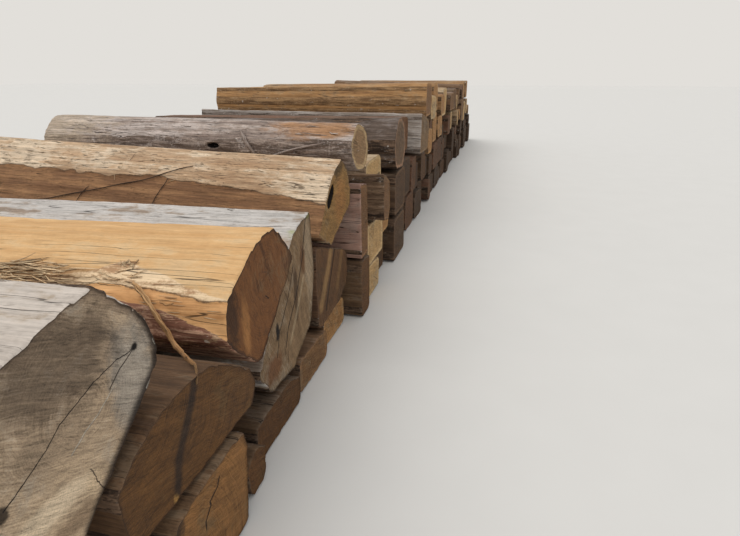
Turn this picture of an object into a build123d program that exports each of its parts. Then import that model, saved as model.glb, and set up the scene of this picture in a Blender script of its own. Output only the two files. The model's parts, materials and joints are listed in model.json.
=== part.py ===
from build123d import *

import math
import os
import random
from bisect import bisect_right
from dataclasses import dataclass, replace

# A heap of rough hewn hardwood logs, stacked in courses along a yard aisle.
# X runs along the logs with their butts towards +X, Y along the row, Z up.
# Sizes are millimetres and angles are degrees.

# Driving dimensions of the stock
LOG_LENGTH = 2450
LENGTH_SPREAD = 110
LOG_TAPER = 0.22
ROW_LENGTH = 13800

# How the logs lie on and beside each other
SEAT_GAP = 0.45
SEAT_GAP_PER_DEGREE = 0.1
SIDE_GAP = 8
SIDE_GAP_SPREAD = 40
BUTT_STAGGER = 45
YAW_SPREAD = 0.7

# Sections of the logs in the far part of the row
FAR_WIDTH = (270, 520)
FAR_HEIGHT = (262, 398)
FAR_WANE = (25, 95)
FAR_SKEW = 28
UNDERSIDE_SHARE = 0.35
ROUND_SHARE = 0.22
ROUND_WIDTH = (240, 350)
ROUND_SPREAD = (0.96, 1.06)
ROUND_WANE_SHARE = 0.8
COURSE_SETBACK = 240
BAY_COUNT = 6
FAR_START = 4250
SHUFFLE_SEED = 29

# Cut features
MORTISE_WIDTH = 70
MORTISE_HEIGHT = 140
MORTISE_DEPTH = 110
MORTISE_TILT = 46
MORTISE_ACROSS = 241
MORTISE_UP = 280
KNOT_HOLE_LENGTH = 96
KNOT_HOLE_WIDTH = 40
KNOT_HOLE_DEPTH = 55
KNOT_HOLE_SETBACK = 930
KNOT_HOLE_UP = 173
KNOT_HOLE_LEAN = 15

# Steps of the settling sums
ARC_STEP = 5
STATION_COUNT = 6
STATIONS_PER_DEGREE = 2
SETTLE_SLACK = 0.001
LEAST_WANE = 6
EDGE_SHARE = 0.44


@dataclass(frozen=True)
class Corner:
    """One corner of a log's section, from the section's left edge and underside."""

    y: float
    z: float
    wane: float


@dataclass(frozen=True)
class Log:
    """One log: its butt section and how it is laid in the row."""

    name: str
    left: float
    corners: tuple
    stand_out: float = 0
    length: float = LOG_LENGTH
    yaw: float = 0
    taper: float = LOG_TAPER

    @property
    def swing(self):
        """How far the butt's right edge stands out beyond its left one."""
        return max(point.y for point in self.corners) * math.sin(math.radians(self.yaw))

    @property
    def front(self):
        """X of the furthest edge of the butt, towards the aisle."""
        return self.stand_out + max(0, self.swing)

    @property
    def tail(self):
        """X of the furthest edge of the end away from the aisle."""
        return self.stand_out - self.length + min(0, self.swing)

    def inset_at(self, x):
        """How much each face has drawn in at a station along the log."""
        return (self.stand_out - x) * math.tan(math.radians(self.taper))

    def shift_at(self, x):
        """Sideways run of a log that doesn't lie square to the row."""
        return self.left + (self.stand_out - x) * math.tan(math.radians(self.yaw))


@dataclass(frozen=True)
class LaidLog:
    """A log that has come to rest: its height at the butt and its fall per millimetre."""

    log: Log
    height: float
    slope: float

    def height_at(self, x):
        """Height of the section's own origin at a station along the log."""
        return self.height + self.slope * (self.log.stand_out - x)


def inset_corners(corners, inset):
    """The section's corners with every face moved in by the same amount."""
    count = len(corners)
    faces = []
    for index in range(count):
        here, after = corners[index], corners[(index + 1) % count]
        run, rise = after.y - here.y, after.z - here.z
        size = math.hypot(run, rise)
        inward = (-rise / size, run / size)
        faces.append((here.y + inward[0] * inset, here.z + inward[1] * inset, run, rise))
    moved = []
    for index in range(count):
        y_a, z_a, run_a, rise_a = faces[index - 1]
        y_b, z_b, run_b, rise_b = faces[index]
        cross = run_a * rise_b - rise_a * run_b
        share = ((y_b - y_a) * rise_b - (z_b - z_a) * run_b) / cross
        wane = max(corners[index].wane - inset, LEAST_WANE)
        moved.append(Corner(y_a + share * run_a, z_a + share * rise_a, wane))
    return moved


def fitted_corners(corners):
    """The corners with each wane cut down to what its two faces have room for."""
    fitted = []
    for index, here in enumerate(corners):
        before, after = corners[index - 1], corners[(index + 1) % len(corners)]
        turn = turn_at(before, here, after)
        shorter = min(
            math.hypot(here.y - before.y, here.z - before.z),
            math.hypot(after.y - here.y, after.z - here.z),
        )
        room = EDGE_SHARE * shorter / math.tan(turn / 2)
        fitted.append(replace(here, wane=min(here.wane, room)))
    return tuple(fitted)


def turn_at(before, here, after):
    """Angle in radians by which the outline turns at a corner."""
    into = math.atan2(here.z - before.z, here.y - before.y)
    out = math.atan2(after.z - here.z, after.y - here.y)
    return (out - into) % (2 * math.pi)


def outline(corners):
    """The rounded section as straight steps that never pass inside it."""
    points = []
    for index, here in enumerate(corners):
        before, after = corners[index - 1], corners[(index + 1) % len(corners)]
        turn = turn_at(before, here, after)
        heading = math.atan2(here.z - before.z, here.y - before.y)
        reach = here.wane * math.tan(turn / 2)
        start_y = here.y - reach * math.cos(heading)
        start_z = here.z - reach * math.sin(heading)
        centre_y = start_y - here.wane * math.sin(heading)
        centre_z = start_z + here.wane * math.cos(heading)
        steps = max(1, math.ceil(math.degrees(turn) / ARC_STEP))
        half = turn / steps / 2
        outer = here.wane / math.cos(half)
        points.append((start_y, start_z))
        for step in range(steps):
            angle = heading - math.pi / 2 + half * (2 * step + 1)
            points.append((centre_y + outer * math.cos(angle), centre_z + outer * math.sin(angle)))
        angle = heading - math.pi / 2 + turn
        points.append((centre_y + here.wane * math.cos(angle), centre_z + here.wane * math.sin(angle)))
    return points


class Chain:
    """The upper or lower side of a section as heights over the row direction."""

    def __init__(self, points):
        self.points = sorted(points)
        self.ys = [point[0] for point in self.points]

    def height(self, y):
        """Height of the chain at y, which lies within its ends."""
        index = min(max(bisect_right(self.ys, y), 1), len(self.ys) - 1)
        (y_a, z_a), (y_b, z_b) = self.points[index - 1], self.points[index]
        if y_b - y_a < 1e-9:
            return max(z_a, z_b)
        return z_a + (z_b - z_a) * (y - y_a) / (y_b - y_a)


def chains(log, x):
    """Lower and upper chain of a log's section at a station, at height zero."""
    stretch = 1 / math.cos(math.radians(log.yaw))
    shift = log.shift_at(x)
    section = outline(inset_corners(log.corners, log.inset_at(x)))
    points = [(shift + y * stretch, z) for y, z in section]
    first = min(range(len(points)), key=lambda index: points[index])
    points = points[first:] + points[:first]
    last = max(range(len(points)), key=lambda index: points[index])
    return Chain(points[: last + 1]), Chain(points[last:] + points[:1])


def side_at(log, x, rightmost):
    """The section's left or right extreme at a station."""
    lower, _ = chains(log, x)
    return lower.ys[-1] if rightmost else lower.ys[0]


def width_range(log):
    """The stretch of the row that a log takes up over its whole length."""
    ends = (log.tail, log.front)
    return min(side_at(log, x, False) for x in ends), max(side_at(log, x, True) for x in ends)


def share_width(log, other):
    """Whether one log lies over any of the stretch that another takes up."""
    low, high = width_range(log)
    other_low, other_high = width_range(other)
    return other_low < high and other_high > low


def stations(log, others):
    """Stations to test: evenly along the log, and each end of the logs under it."""
    count = STATION_COUNT + round(STATIONS_PER_DEGREE * abs(log.yaw))
    pitch = (log.front - log.tail) / (count - 1)
    even = [log.tail + pitch * step for step in range(count)]
    ends = [end for other in others for end in (other.log.front, other.log.tail)]
    return sorted({x for x in even + ends if log.tail <= x <= log.front})


def lift_over(log, laid, x):
    """How high the log's origin has to be at a station to clear what is laid."""
    lower, _ = chains(log, x)
    gap = SEAT_GAP + SEAT_GAP_PER_DEGREE * abs(log.yaw)
    lift = -min(z for _, z in lower.points)
    for other in laid:
        if not other.log.tail <= x <= other.log.front:
            continue
        _, upper = chains(other.log, x)
        start = max(lower.ys[0], upper.ys[0])
        end = min(lower.ys[-1], upper.ys[-1])
        if start >= end:
            continue
        rest = other.height_at(x)
        inside = [y for y in lower.ys + upper.ys if start < y < end]
        for y in (start, end, *inside):
            lift = max(lift, rest + upper.height(y) - lower.height(y) + gap)
    return lift


def settle(log, laid):
    """Lower a log until it rests at two stations, one on each side of its middle."""
    under = [other for other in laid if share_width(log, other.log)]
    xs = stations(log, under)
    lifts = [lift_over(log, under, x) for x in xs]
    middle = (log.tail + log.front) / 2
    rests = []
    for x_a, lift_a in zip(xs, lifts):
        for x_b, lift_b in zip(xs, lifts):
            if x_a == x_b or not x_a <= middle <= x_b:
                continue
            slope = (lift_b - lift_a) / (x_b - x_a)
            if all(lift <= lift_a + slope * (x - x_a) + SETTLE_SLACK for x, lift in zip(xs, lifts)):
                rests.append((abs(slope), slope, lift_a + slope * (log.stand_out - x_a)))
    _, slope, height = min(rests)
    return LaidLog(log, height, -slope)


def beside(log, neighbour, gap):
    """The log moved along the row until it clears its neighbour by a gap."""
    xs = (log.front, log.tail, neighbour.front, neighbour.tail)
    push = max(side_at(neighbour, x, True) - side_at(log, x, False) for x in xs)
    return replace(log, left=log.left + push + gap)


def round_section(chance):
    """A rounder peeled log, as six faces with wide wanes."""
    radius = chance.uniform(*ROUND_WIDTH) / 2
    lean = chance.uniform(0, 60)
    corners = []
    for side in range(6):
        angle = math.radians(lean + 60 * side)
        y = radius * (1 + math.cos(angle) * chance.uniform(*ROUND_SPREAD))
        z = radius * (1 + math.sin(angle) * chance.uniform(*ROUND_SPREAD))
        corners.append(Corner(y, z, radius * ROUND_WANE_SHARE))
    return corners


def hewn_section(chance):
    """A four-sided baulk with uneven faces and wanes."""
    width = chance.uniform(*FAR_WIDTH)
    height = chance.uniform(*FAR_HEIGHT)
    corners = []
    for y, z in ((0, 0), (width, 0), (width, height), (0, height)):
        rise = chance.uniform(-FAR_SKEW, FAR_SKEW) * (1 if z else UNDERSIDE_SHARE)
        corners.append(Corner(y + chance.uniform(-FAR_SKEW, FAR_SKEW), z + rise, chance.uniform(*FAR_WANE)))
    return corners


# The near logs, which show best, course by course from the start of the row
GROUND_LOGS = (
    Log(
        "start_chock_log",
        150,
        (Corner(20, 0, 60), Corner(440, 0, 60), Corner(462, 400, 80), Corner(0, 385, 90)),
        stand_out=20,
    ),
    Log(
        "dark_ground_log",
        632,
        (Corner(0, 0, 40), Corner(262, 0, 60), Corner(275, 350, 50), Corner(20, 372, 60)),
        stand_out=60,
    ),
    Log(
        "cracked_ground_log",
        925,
        (
            Corner(0, 0, 45),
            Corner(420, 0, 30),
            Corner(468, 300, 60),
            Corner(440, 382, 30),
            Corner(10, 362, 60),
        ),
        stand_out=125,
        length=LOG_LENGTH + 30,
    ),
    Log(
        "small_ground_log",
        1408,
        (
            Corner(22, 0, 40),
            Corner(160, 0, 40),
            Corner(182, 150, 45),
            Corner(90, 205, 50),
            Corner(0, 160, 45),
        ),
        stand_out=92,
        length=LOG_LENGTH - 150,
    ),
    Log(
        "low_ground_log",
        1602,
        (
            Corner(10, 0, 40),
            Corner(490, 0, 45),
            Corner(500, 150, 45),
            Corner(380, 196, 60),
            Corner(0, 186, 50),
        ),
        stand_out=38,
        length=LOG_LENGTH + 70,
    ),
    Log(
        "brown_ground_log",
        2118,
        (Corner(0, 0, 40), Corner(440, 0, 50), Corner(452, 180, 50), Corner(15, 192, 50)),
        stand_out=20,
    ),
    Log(
        "flat_ground_log",
        2588,
        (Corner(0, 0, 45), Corner(420, 0, 40), Corner(436, 196, 60), Corner(12, 188, 50)),
        stand_out=-15,
        length=LOG_LENGTH - 70,
    ),
    Log(
        "deep_ground_log",
        3060,
        (Corner(6, 0, 40), Corner(216, 0, 40), Corner(222, 386, 40), Corner(0, 398, 40)),
        stand_out=90,
    ),
    Log(
        "cream_ground_log",
        3310,
        (Corner(0, 0, 40), Corner(395, 0, 40), Corner(410, 240, 50), Corner(0, 252, 40)),
        stand_out=55,
    ),
    Log(
        "tarred_ground_log",
        3748,
        (Corner(0, 0, 50), Corner(410, 0, 40), Corner(398, 318, 60), Corner(12, 300, 40)),
        stand_out=-10,
    ),
    Log(
        "sooty_ground_log",
        4196,
        (Corner(0, 0, 40), Corner(480, 0, 40), Corner(470, 384, 50), Corner(8, 372, 60)),
        stand_out=70,
    ),
)
SECOND_LOGS = (
    Log(
        "wedge_log",
        800,
        (
            Corner(15, 0, 40),
            Corner(690, 3, 30),
            Corner(735, 80, 40),
            Corner(700, 165, 45),
            Corner(455, 318, 90),
            Corner(210, 320, 60),
            Corner(0, 225, 70),
        ),
        stand_out=100,
        length=LOG_LENGTH + 50,
    ),
    Log(
        "grey_weathered_log",
        1690,
        (
            Corner(0, 165, 50),
            Corner(120, 18, 70),
            Corner(380, 0, 60),
            Corner(640, 130, 90),
            Corner(716, 380, 90),
            Corner(690, 712, 36),
            Corner(450, 655, 60),
        ),
        stand_out=22,
        length=LOG_LENGTH + 110,
    ),
    Log(
        "dark_square_log",
        2445,
        (
            Corner(20, 0, 45),
            Corner(400, 18, 60),
            Corner(590, 95, 70),
            Corner(585, 310, 60),
            Corner(0, 508, 40),
        ),
        stand_out=5,
        taper=-0.6,
    ),
    Log(
        "cream_second_log",
        3300,
        (Corner(0, 0, 40), Corner(470, 0, 50), Corner(480, 285, 45), Corner(10, 300, 30)),
        stand_out=70,
    ),
    Log(
        "short_second_log",
        3810,
        (Corner(10, 0, 50), Corner(400, 0, 70), Corner(410, 280, 80), Corner(0, 295, 60)),
        stand_out=20,
        length=LOG_LENGTH - 130,
    ),
    Log(
        "umber_second_log",
        4252,
        (Corner(0, 0, 40), Corner(470, 0, 60), Corner(462, 378, 60), Corner(20, 366, 70)),
        stand_out=62,
    ),
)
THIRD_LOGS = (
    Log(
        "peeled_tan_log",
        1412,
        (
            Corner(0, 200, 60),
            Corner(245, 0, 60),
            Corner(660, 315, 45),
            Corner(470, 505, 36),
            Corner(300, 490, 70),
            Corner(15, 350, 90),
        ),
        stand_out=58,
        length=LOG_LENGTH + 150,
    ),
    Log(
        "great_grey_log",
        330,
        (
            Corner(90, 0, 90),
            Corner(330, 40, 80),
            Corner(750, 365, 80),
            Corner(715, 500, 80),
            Corner(560, 648, 60),
            Corner(60, 515, 80),
            Corner(0, 200, 110),
        ),
        stand_out=80,
        length=LOG_LENGTH - 70,
    ),
    Log(
        "slotted_log",
        2432,
        (
            Corner(0, 110, 26),
            Corner(240, 0, 50),
            Corner(620, 150, 60),
            Corner(628, 262, 60),
            Corner(560, 385, 60),
            Corner(420, 470, 28),
            Corner(235, 392, 40),
        ),
        stand_out=24,
        length=LOG_LENGTH + 170,
        yaw=-0.35,
        taper=-0.38,
    ),
    Log(
        "pink_upright_log",
        3088,
        (Corner(0, 0, 24), Corner(170, 4, 24), Corner(176, 466, 30), Corner(0, 494, 30)),
        stand_out=84,
    ),
    Log(
        "splintered_log",
        3372,
        (
            Corner(0, 30, 22),
            Corner(150, 0, 28),
            Corner(212, 90, 40),
            Corner(198, 290, 40),
            Corner(10, 362, 24),
        ),
        stand_out=165,
        length=LOG_LENGTH + 50,
    ),
    Log(
        "dusty_third_log",
        3606,
        (Corner(0, 0, 40), Corner(500, 0, 60), Corner(512, 330, 60), Corner(16, 318, 50)),
        stand_out=-20,
    ),
    Log(
        "charcoal_log",
        4200,
        (
            Corner(60, 20, 120),
            Corner(380, 0, 130),
            Corner(500, 170, 140),
            Corner(440, 400, 150),
            Corner(170, 440, 160),
            Corner(0, 240, 150),
        ),
        stand_out=66,
        length=LOG_LENGTH + 70,
    ),
    Log(
        "rust_third_log",
        4740,
        (Corner(0, 0, 50), Corner(640, 0, 70), Corner(660, 330, 70), Corner(30, 350, 90)),
        stand_out=-40,
    ),
    Log(
        "flat_grey_log",
        5480,
        (Corner(0, 10, 40), Corner(560, 0, 60), Corner(600, 320, 60), Corner(10, 425, 30)),
        stand_out=75,
    ),
)
TOP_LOGS = (
    Log(
        "round_grey_log",
        2915,
        (
            Corner(88, 8, 105),
            Corner(228, 0, 105),
            Corner(312, 120, 110),
            Corner(268, 272, 105),
            Corner(120, 312, 110),
            Corner(0, 172, 110),
        ),
        stand_out=64,
        length=LOG_LENGTH - 110,
        yaw=7.5,
        taper=-1.3,
    ),
    Log(
        "amber_log",
        5880,
        (
            Corner(40, 0, 70),
            Corner(560, 0, 80),
            Corner(690, 130, 80),
            Corner(650, 340, 40),
            Corner(60, 365, 60),
            Corner(0, 170, 80),
        ),
        stand_out=62,
        length=LOG_LENGTH - 30,
        yaw=-2.5,
        taper=1.0,
    ),
)
NEAR_COURSES = (GROUND_LOGS, SECOND_LOGS, THIRD_LOGS, TOP_LOGS)
COURSE_NAMES = ("ground", "second", "third", "top")


def next_log(chance, name, neighbour):
    """The next log of a course in the far part, beside its neighbour."""
    section = round_section if chance.random() < ROUND_SHARE else hewn_section
    log = Log(
        name,
        0,
        fitted_corners(section(chance)),
        stand_out=chance.uniform(-BUTT_STAGGER, BUTT_STAGGER),
        length=LOG_LENGTH + chance.uniform(-LENGTH_SPREAD, LENGTH_SPREAD),
        yaw=chance.uniform(-YAW_SPREAD, YAW_SPREAD),
        taper=LOG_TAPER * chance.choice((-1, 1)),
    )
    return beside(log, neighbour, SIDE_GAP + chance.uniform(0, SIDE_GAP_SPREAD))


def lay_row():
    """Every log at rest, as (node name, laid log) pairs, the courses from the ground up."""
    chance = random.Random(SHUFFLE_SEED)
    bay_length = (ROW_LENGTH - FAR_START) / BAY_COUNT
    laid = []
    named = []
    for course, near_logs in enumerate(NEAR_COURSES):
        for log in near_logs:
            fitted = replace(log, corners=fitted_corners(log.corners))
            laid.append(settle(fitted, laid))
            named.append((log.name, laid[-1]))
        neighbour = laid[-1].log
        course_end = ROW_LENGTH - course * COURSE_SETBACK
        while True:
            log = next_log(chance, COURSE_NAMES[course], neighbour)
            if width_range(log)[1] > course_end:
                break
            laid.append(settle(log, laid))
            bay = min(BAY_COUNT, 1 + max(0, int((log.left - FAR_START) // bay_length)))
            named.append((f"bay_{bay}_{COURSE_NAMES[course]}_logs", laid[-1]))
            neighbour = log
    return named


def butt_plane(laid_log):
    """The sketch plane of a log's butt, facing out along the log."""
    log = laid_log.log
    yaw = math.radians(log.yaw)
    fall = math.atan(laid_log.slope * math.cos(yaw))
    outward = (math.cos(yaw) * math.cos(fall), -math.sin(yaw) * math.cos(fall), -math.sin(fall))
    return Plane(
        origin=(log.stand_out, log.left, laid_log.height),
        x_dir=(math.sin(yaw), math.cos(yaw), 0),
        z_dir=outward,
    )


def add_log(laid_log):
    """Sketch a log's butt in the open part and draw it out to its length."""
    log = laid_log.log
    plane = butt_plane(laid_log)
    with BuildSketch(plane) as butt:
        with BuildLine():
            Polyline(*[(point.y, point.z) for point in log.corners], close=True)
        make_face()
        for point in log.corners:
            nearest = butt.vertices().sort_by_distance((point.y, point.z))[0]
            fillet(nearest, radius=point.wane)
    extrude(butt.sketch, amount=-log.length, taper=log.taper)
    return plane


def cut_mortise(plane):
    """The old chain slot in a butt, leaning to the right."""
    with BuildSketch(plane) as slot:
        with Locations((MORTISE_ACROSS, MORTISE_UP)):
            SlotOverall(MORTISE_HEIGHT, MORTISE_WIDTH, rotation=90 - MORTISE_TILT)
    extrude(slot.sketch, amount=-MORTISE_DEPTH, mode=Mode.SUBTRACT)


def cut_knot_hole(plane):
    """The rotted knot in the near side of a log."""
    place = plane.from_local_coords((0, KNOT_HOLE_UP, -KNOT_HOLE_SETBACK))
    slant = Plane(origin=place, x_dir=plane.z_dir, z_dir=-plane.x_dir).rotated((-KNOT_HOLE_LEAN, 0, 0))
    with BuildSketch(slant.offset(KNOT_HOLE_WIDTH)) as mouth:
        Ellipse(KNOT_HOLE_LENGTH / 2, KNOT_HOLE_WIDTH / 2)
    extrude(mouth.sketch, amount=-KNOT_HOLE_WIDTH - KNOT_HOLE_DEPTH, mode=Mode.SUBTRACT)


def build_nodes(named):
    """One finished part for each node name, still in the row's own place."""
    nodes = {}
    for name, laid_log in named:
        nodes.setdefault(name, []).append(laid_log)
    parts = {}
    for name, members in nodes.items():
        with BuildPart() as node:
            for laid_log in members:
                plane = add_log(laid_log)
                if name == "slotted_log":
                    cut_mortise(plane)
                if name == "round_grey_log":
                    cut_knot_hole(plane)
        parts[name] = node.part
    return parts


# The middle of the row's footprint goes to the origin, and its ground stays at zero
parts = build_nodes(lay_row())
boxes = [part.bounding_box() for part in parts.values()]
middle_x = (min(box.min.X for box in boxes) + max(box.max.X for box in boxes)) / 2
middle_y = (min(box.min.Y for box in boxes) + max(box.max.Y for box in boxes)) / 2
os.makedirs("parts", exist_ok=True)
for name, part in parts.items():
    finished = part.moved(Location((-middle_x, -middle_y, 0)))
    finished.label = name
    export_step(finished, f"parts/{name}.step")
print("logs", sum(len(part.solids()) for part in parts.values()), "nodes", len(parts))
print("row middle", round(middle_x, 2), round(middle_y, 2))
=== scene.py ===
"""Dresses the heap of hewn hardwood logs: worn wood on every log, a camera, a floor and soft light."""

import json
import logging
import math
from dataclasses import dataclass, field, replace
from enum import Enum
from typing import Any, Dict, List, Optional, Sequence, Tuple

import bpy
import numpy as np
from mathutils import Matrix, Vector
from mathutils.bvhtree import BVHTree


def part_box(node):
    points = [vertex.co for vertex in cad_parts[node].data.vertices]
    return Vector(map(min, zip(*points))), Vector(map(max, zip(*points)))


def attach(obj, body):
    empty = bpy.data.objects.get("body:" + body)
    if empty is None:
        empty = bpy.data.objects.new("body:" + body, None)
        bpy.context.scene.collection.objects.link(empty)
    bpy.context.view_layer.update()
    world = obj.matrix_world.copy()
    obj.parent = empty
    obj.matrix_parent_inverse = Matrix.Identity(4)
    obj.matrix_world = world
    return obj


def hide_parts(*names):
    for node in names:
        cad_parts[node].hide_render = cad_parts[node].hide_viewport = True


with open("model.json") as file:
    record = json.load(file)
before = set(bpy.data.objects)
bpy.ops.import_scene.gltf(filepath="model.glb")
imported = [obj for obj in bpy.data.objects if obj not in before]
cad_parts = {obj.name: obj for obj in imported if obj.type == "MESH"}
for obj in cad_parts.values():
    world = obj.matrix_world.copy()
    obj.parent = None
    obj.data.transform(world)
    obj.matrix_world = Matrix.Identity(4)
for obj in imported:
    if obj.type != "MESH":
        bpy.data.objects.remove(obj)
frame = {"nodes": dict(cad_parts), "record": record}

log = logging.getLogger("heap_of_logs")
Colour = str
Light = Tuple[float, float, float]
Point = Tuple[float, float, float]
Course = Tuple[Tuple[float, float], ...]

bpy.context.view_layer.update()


# Numbers that vary smoothly over space

HASH_STEPS = np.array([374761393, 668265263, 1440662683])
HASH_SEED_STEP = 974711
HASH_FACTOR = 1274126177
OCTAVE_FINENESS = 2.03
OCTAVE_SEED_STEP = 17


def lattice(cell: np.ndarray, seed: int) -> np.ndarray:
    """Gives each whole-numbered cell its own repeatable value.

    Args:
        cell: Whole-numbered cells, one row of three for each.
        seed: Picks one pattern out of many.

    Returns:
        A value from -1 to 1 for each row.
    """
    mixed = (cell.astype(np.int64) * HASH_STEPS).sum(axis=1) + seed * HASH_SEED_STEP
    mixed = (mixed ^ (mixed >> 13)) & 0xFFFFFFFF
    mixed = (mixed * HASH_FACTOR) & 0xFFFFFFFF
    return ((mixed ^ (mixed >> 16)) & 0xFFFF) / 32767.5 - 1.0


def noise(points: np.ndarray, seed: int, octaves: int = 1) -> np.ndarray:
    """Smooth noise over space.

    Args:
        points: Places, one row of three for each, in noise cells.
        seed: Picks one pattern out of many.
        octaves: How many finer layers are added, each half as strong.

    Returns:
        A value of about -1 to 1 for each row.
    """
    total = np.zeros(len(points))
    strength, reach = 1.0, 0.0
    place = points
    for octave in range(octaves):
        base = np.floor(place)
        part = place - base
        fade = part * part * (3 - 2 * part)
        layer = np.zeros(len(points))
        for corner in range(8):
            step = np.array([corner & 1, corner >> 1 & 1, corner >> 2 & 1])
            share = np.prod(np.where(step, fade, 1 - fade), axis=1)
            layer += share * lattice(base + step, seed + octave * OCTAVE_SEED_STEP)
        total += strength * layer
        reach += strength
        strength *= 0.5
        place = place * OCTAVE_FINENESS
    return total / reach


def smooth(values: np.ndarray, low: float, high: float) -> np.ndarray:
    """A soft step from 0 at low to 1 at high; a low above high steps down."""
    share = np.clip((values - low) / (high - low), 0, 1)
    return share * share * (3 - 2 * share)


# Shader maths


def tint(code: Colour) -> Light:
    """Turns a screen colour such as c8a070 into scene light values."""
    parts = [int(code[place : place + 2], 16) / 255 for place in (0, 2, 4)]
    return tuple(p / 12.92 if p <= 0.04045 else ((p + 0.055) / 1.055) ** 2.4 for p in parts)


class Grain(Enum):
    """Noise patterns: cells per metre along, across and up, finer layers, their strength and distortion."""

    FINE = ((10.0, 230.0, 230.0), 2, 0.6)
    FIBRE = ((3.2, 80.0, 80.0), 3, 0.65, 0.3)
    STREAK = ((1.1, 22.0, 22.0), 3, 0.6, 0.5)
    CLOUD = ((1.5, 3.0, 3.0), 3, 0.6, 0.4)
    MOTTLE = ((9.0, 17.0, 17.0), 5, 0.68, 0.3)
    SPECK = ((75.0, 120.0, 120.0), 2, 0.6)
    FLECK = ((17.0, 120.0, 120.0), 3, 0.6, 0.4)
    SHAKE = ((0.8, 17.0, 17.0), 2, 0.55, 0.4)
    FURROW = ((4.5, 42.0, 42.0), 4, 0.68, 0.7)
    FLAKE = ((26.0, 60.0, 60.0), 2, 0.6)
    END_WANDER = ((1.0, 4.0, 4.0), 4, 0.55, 0.5)
    END_CLOUD = ((1.0, 2.6, 2.6), 4, 0.6, 0.5)
    END_MOTTLE = ((1.0, 15.0, 15.0), 5, 0.68, 0.4)
    END_PORE = ((1.0, 260.0, 260.0), 2, 0.6)
    SAW = ((1.0, 16.0, 230.0), 3, 0.65, 0.1)
    KERF = ((1.0, 2.0, 38.0), 2, 0.6, 0.2)
    SMEAR = ((1.0, 4.0, 16.0), 4, 0.65, 0.6)
    FLOOR = ((3.0, 3.0, 3.0), 2)


class Rings(Enum):
    """Ring patterns: cells per metre outwards, how far they wander, cells around, finer layers."""

    FINE = (260.0, 30.0, 2.4, 4)
    BROAD = (34.0, 16.0, 1.3, 3)
    RAYS = (7.0, 0.0, 60.0, 3)


class Value:
    """A shader output that Python's operators work on."""

    def __init__(self, bench: "ShaderBench", socket: Any) -> None:
        """Wraps one output."""
        self.bench = bench
        self.socket = socket

    def __add__(self, other: Any) -> "Value":
        """The sum."""
        return self.bench.math("ADD", self, other)

    def __sub__(self, other: Any) -> "Value":
        """The difference."""
        return self.bench.math("SUBTRACT", self, other)

    def __rsub__(self, other: Any) -> "Value":
        """The difference, from a number."""
        return self.bench.math("SUBTRACT", other, self)

    def __mul__(self, other: Any) -> "Value":
        """The product."""
        return self.bench.math("MULTIPLY", self, other)

    def __truediv__(self, other: Any) -> "Value":
        """The quotient."""
        return self.bench.math("DIVIDE", self, other)

    __radd__ = __add__
    __rmul__ = __mul__

    def most(self, other: Any) -> "Value":
        """The larger of two values."""
        return self.bench.math("MAXIMUM", self, other)

    def least(self, other: Any) -> "Value":
        """The smaller of two values."""
        return self.bench.math("MINIMUM", self, other)

    def step(self, low: float, high: float) -> "Value":
        """A soft step from 0 at low to 1 at high; a low above high steps down."""
        sockets = {"Value": self, "From Min": low, "From Max": high}
        return self.bench.node("ShaderNodeMapRange", {"interpolation_type": "SMOOTHSTEP"}, sockets, "Result")


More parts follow.
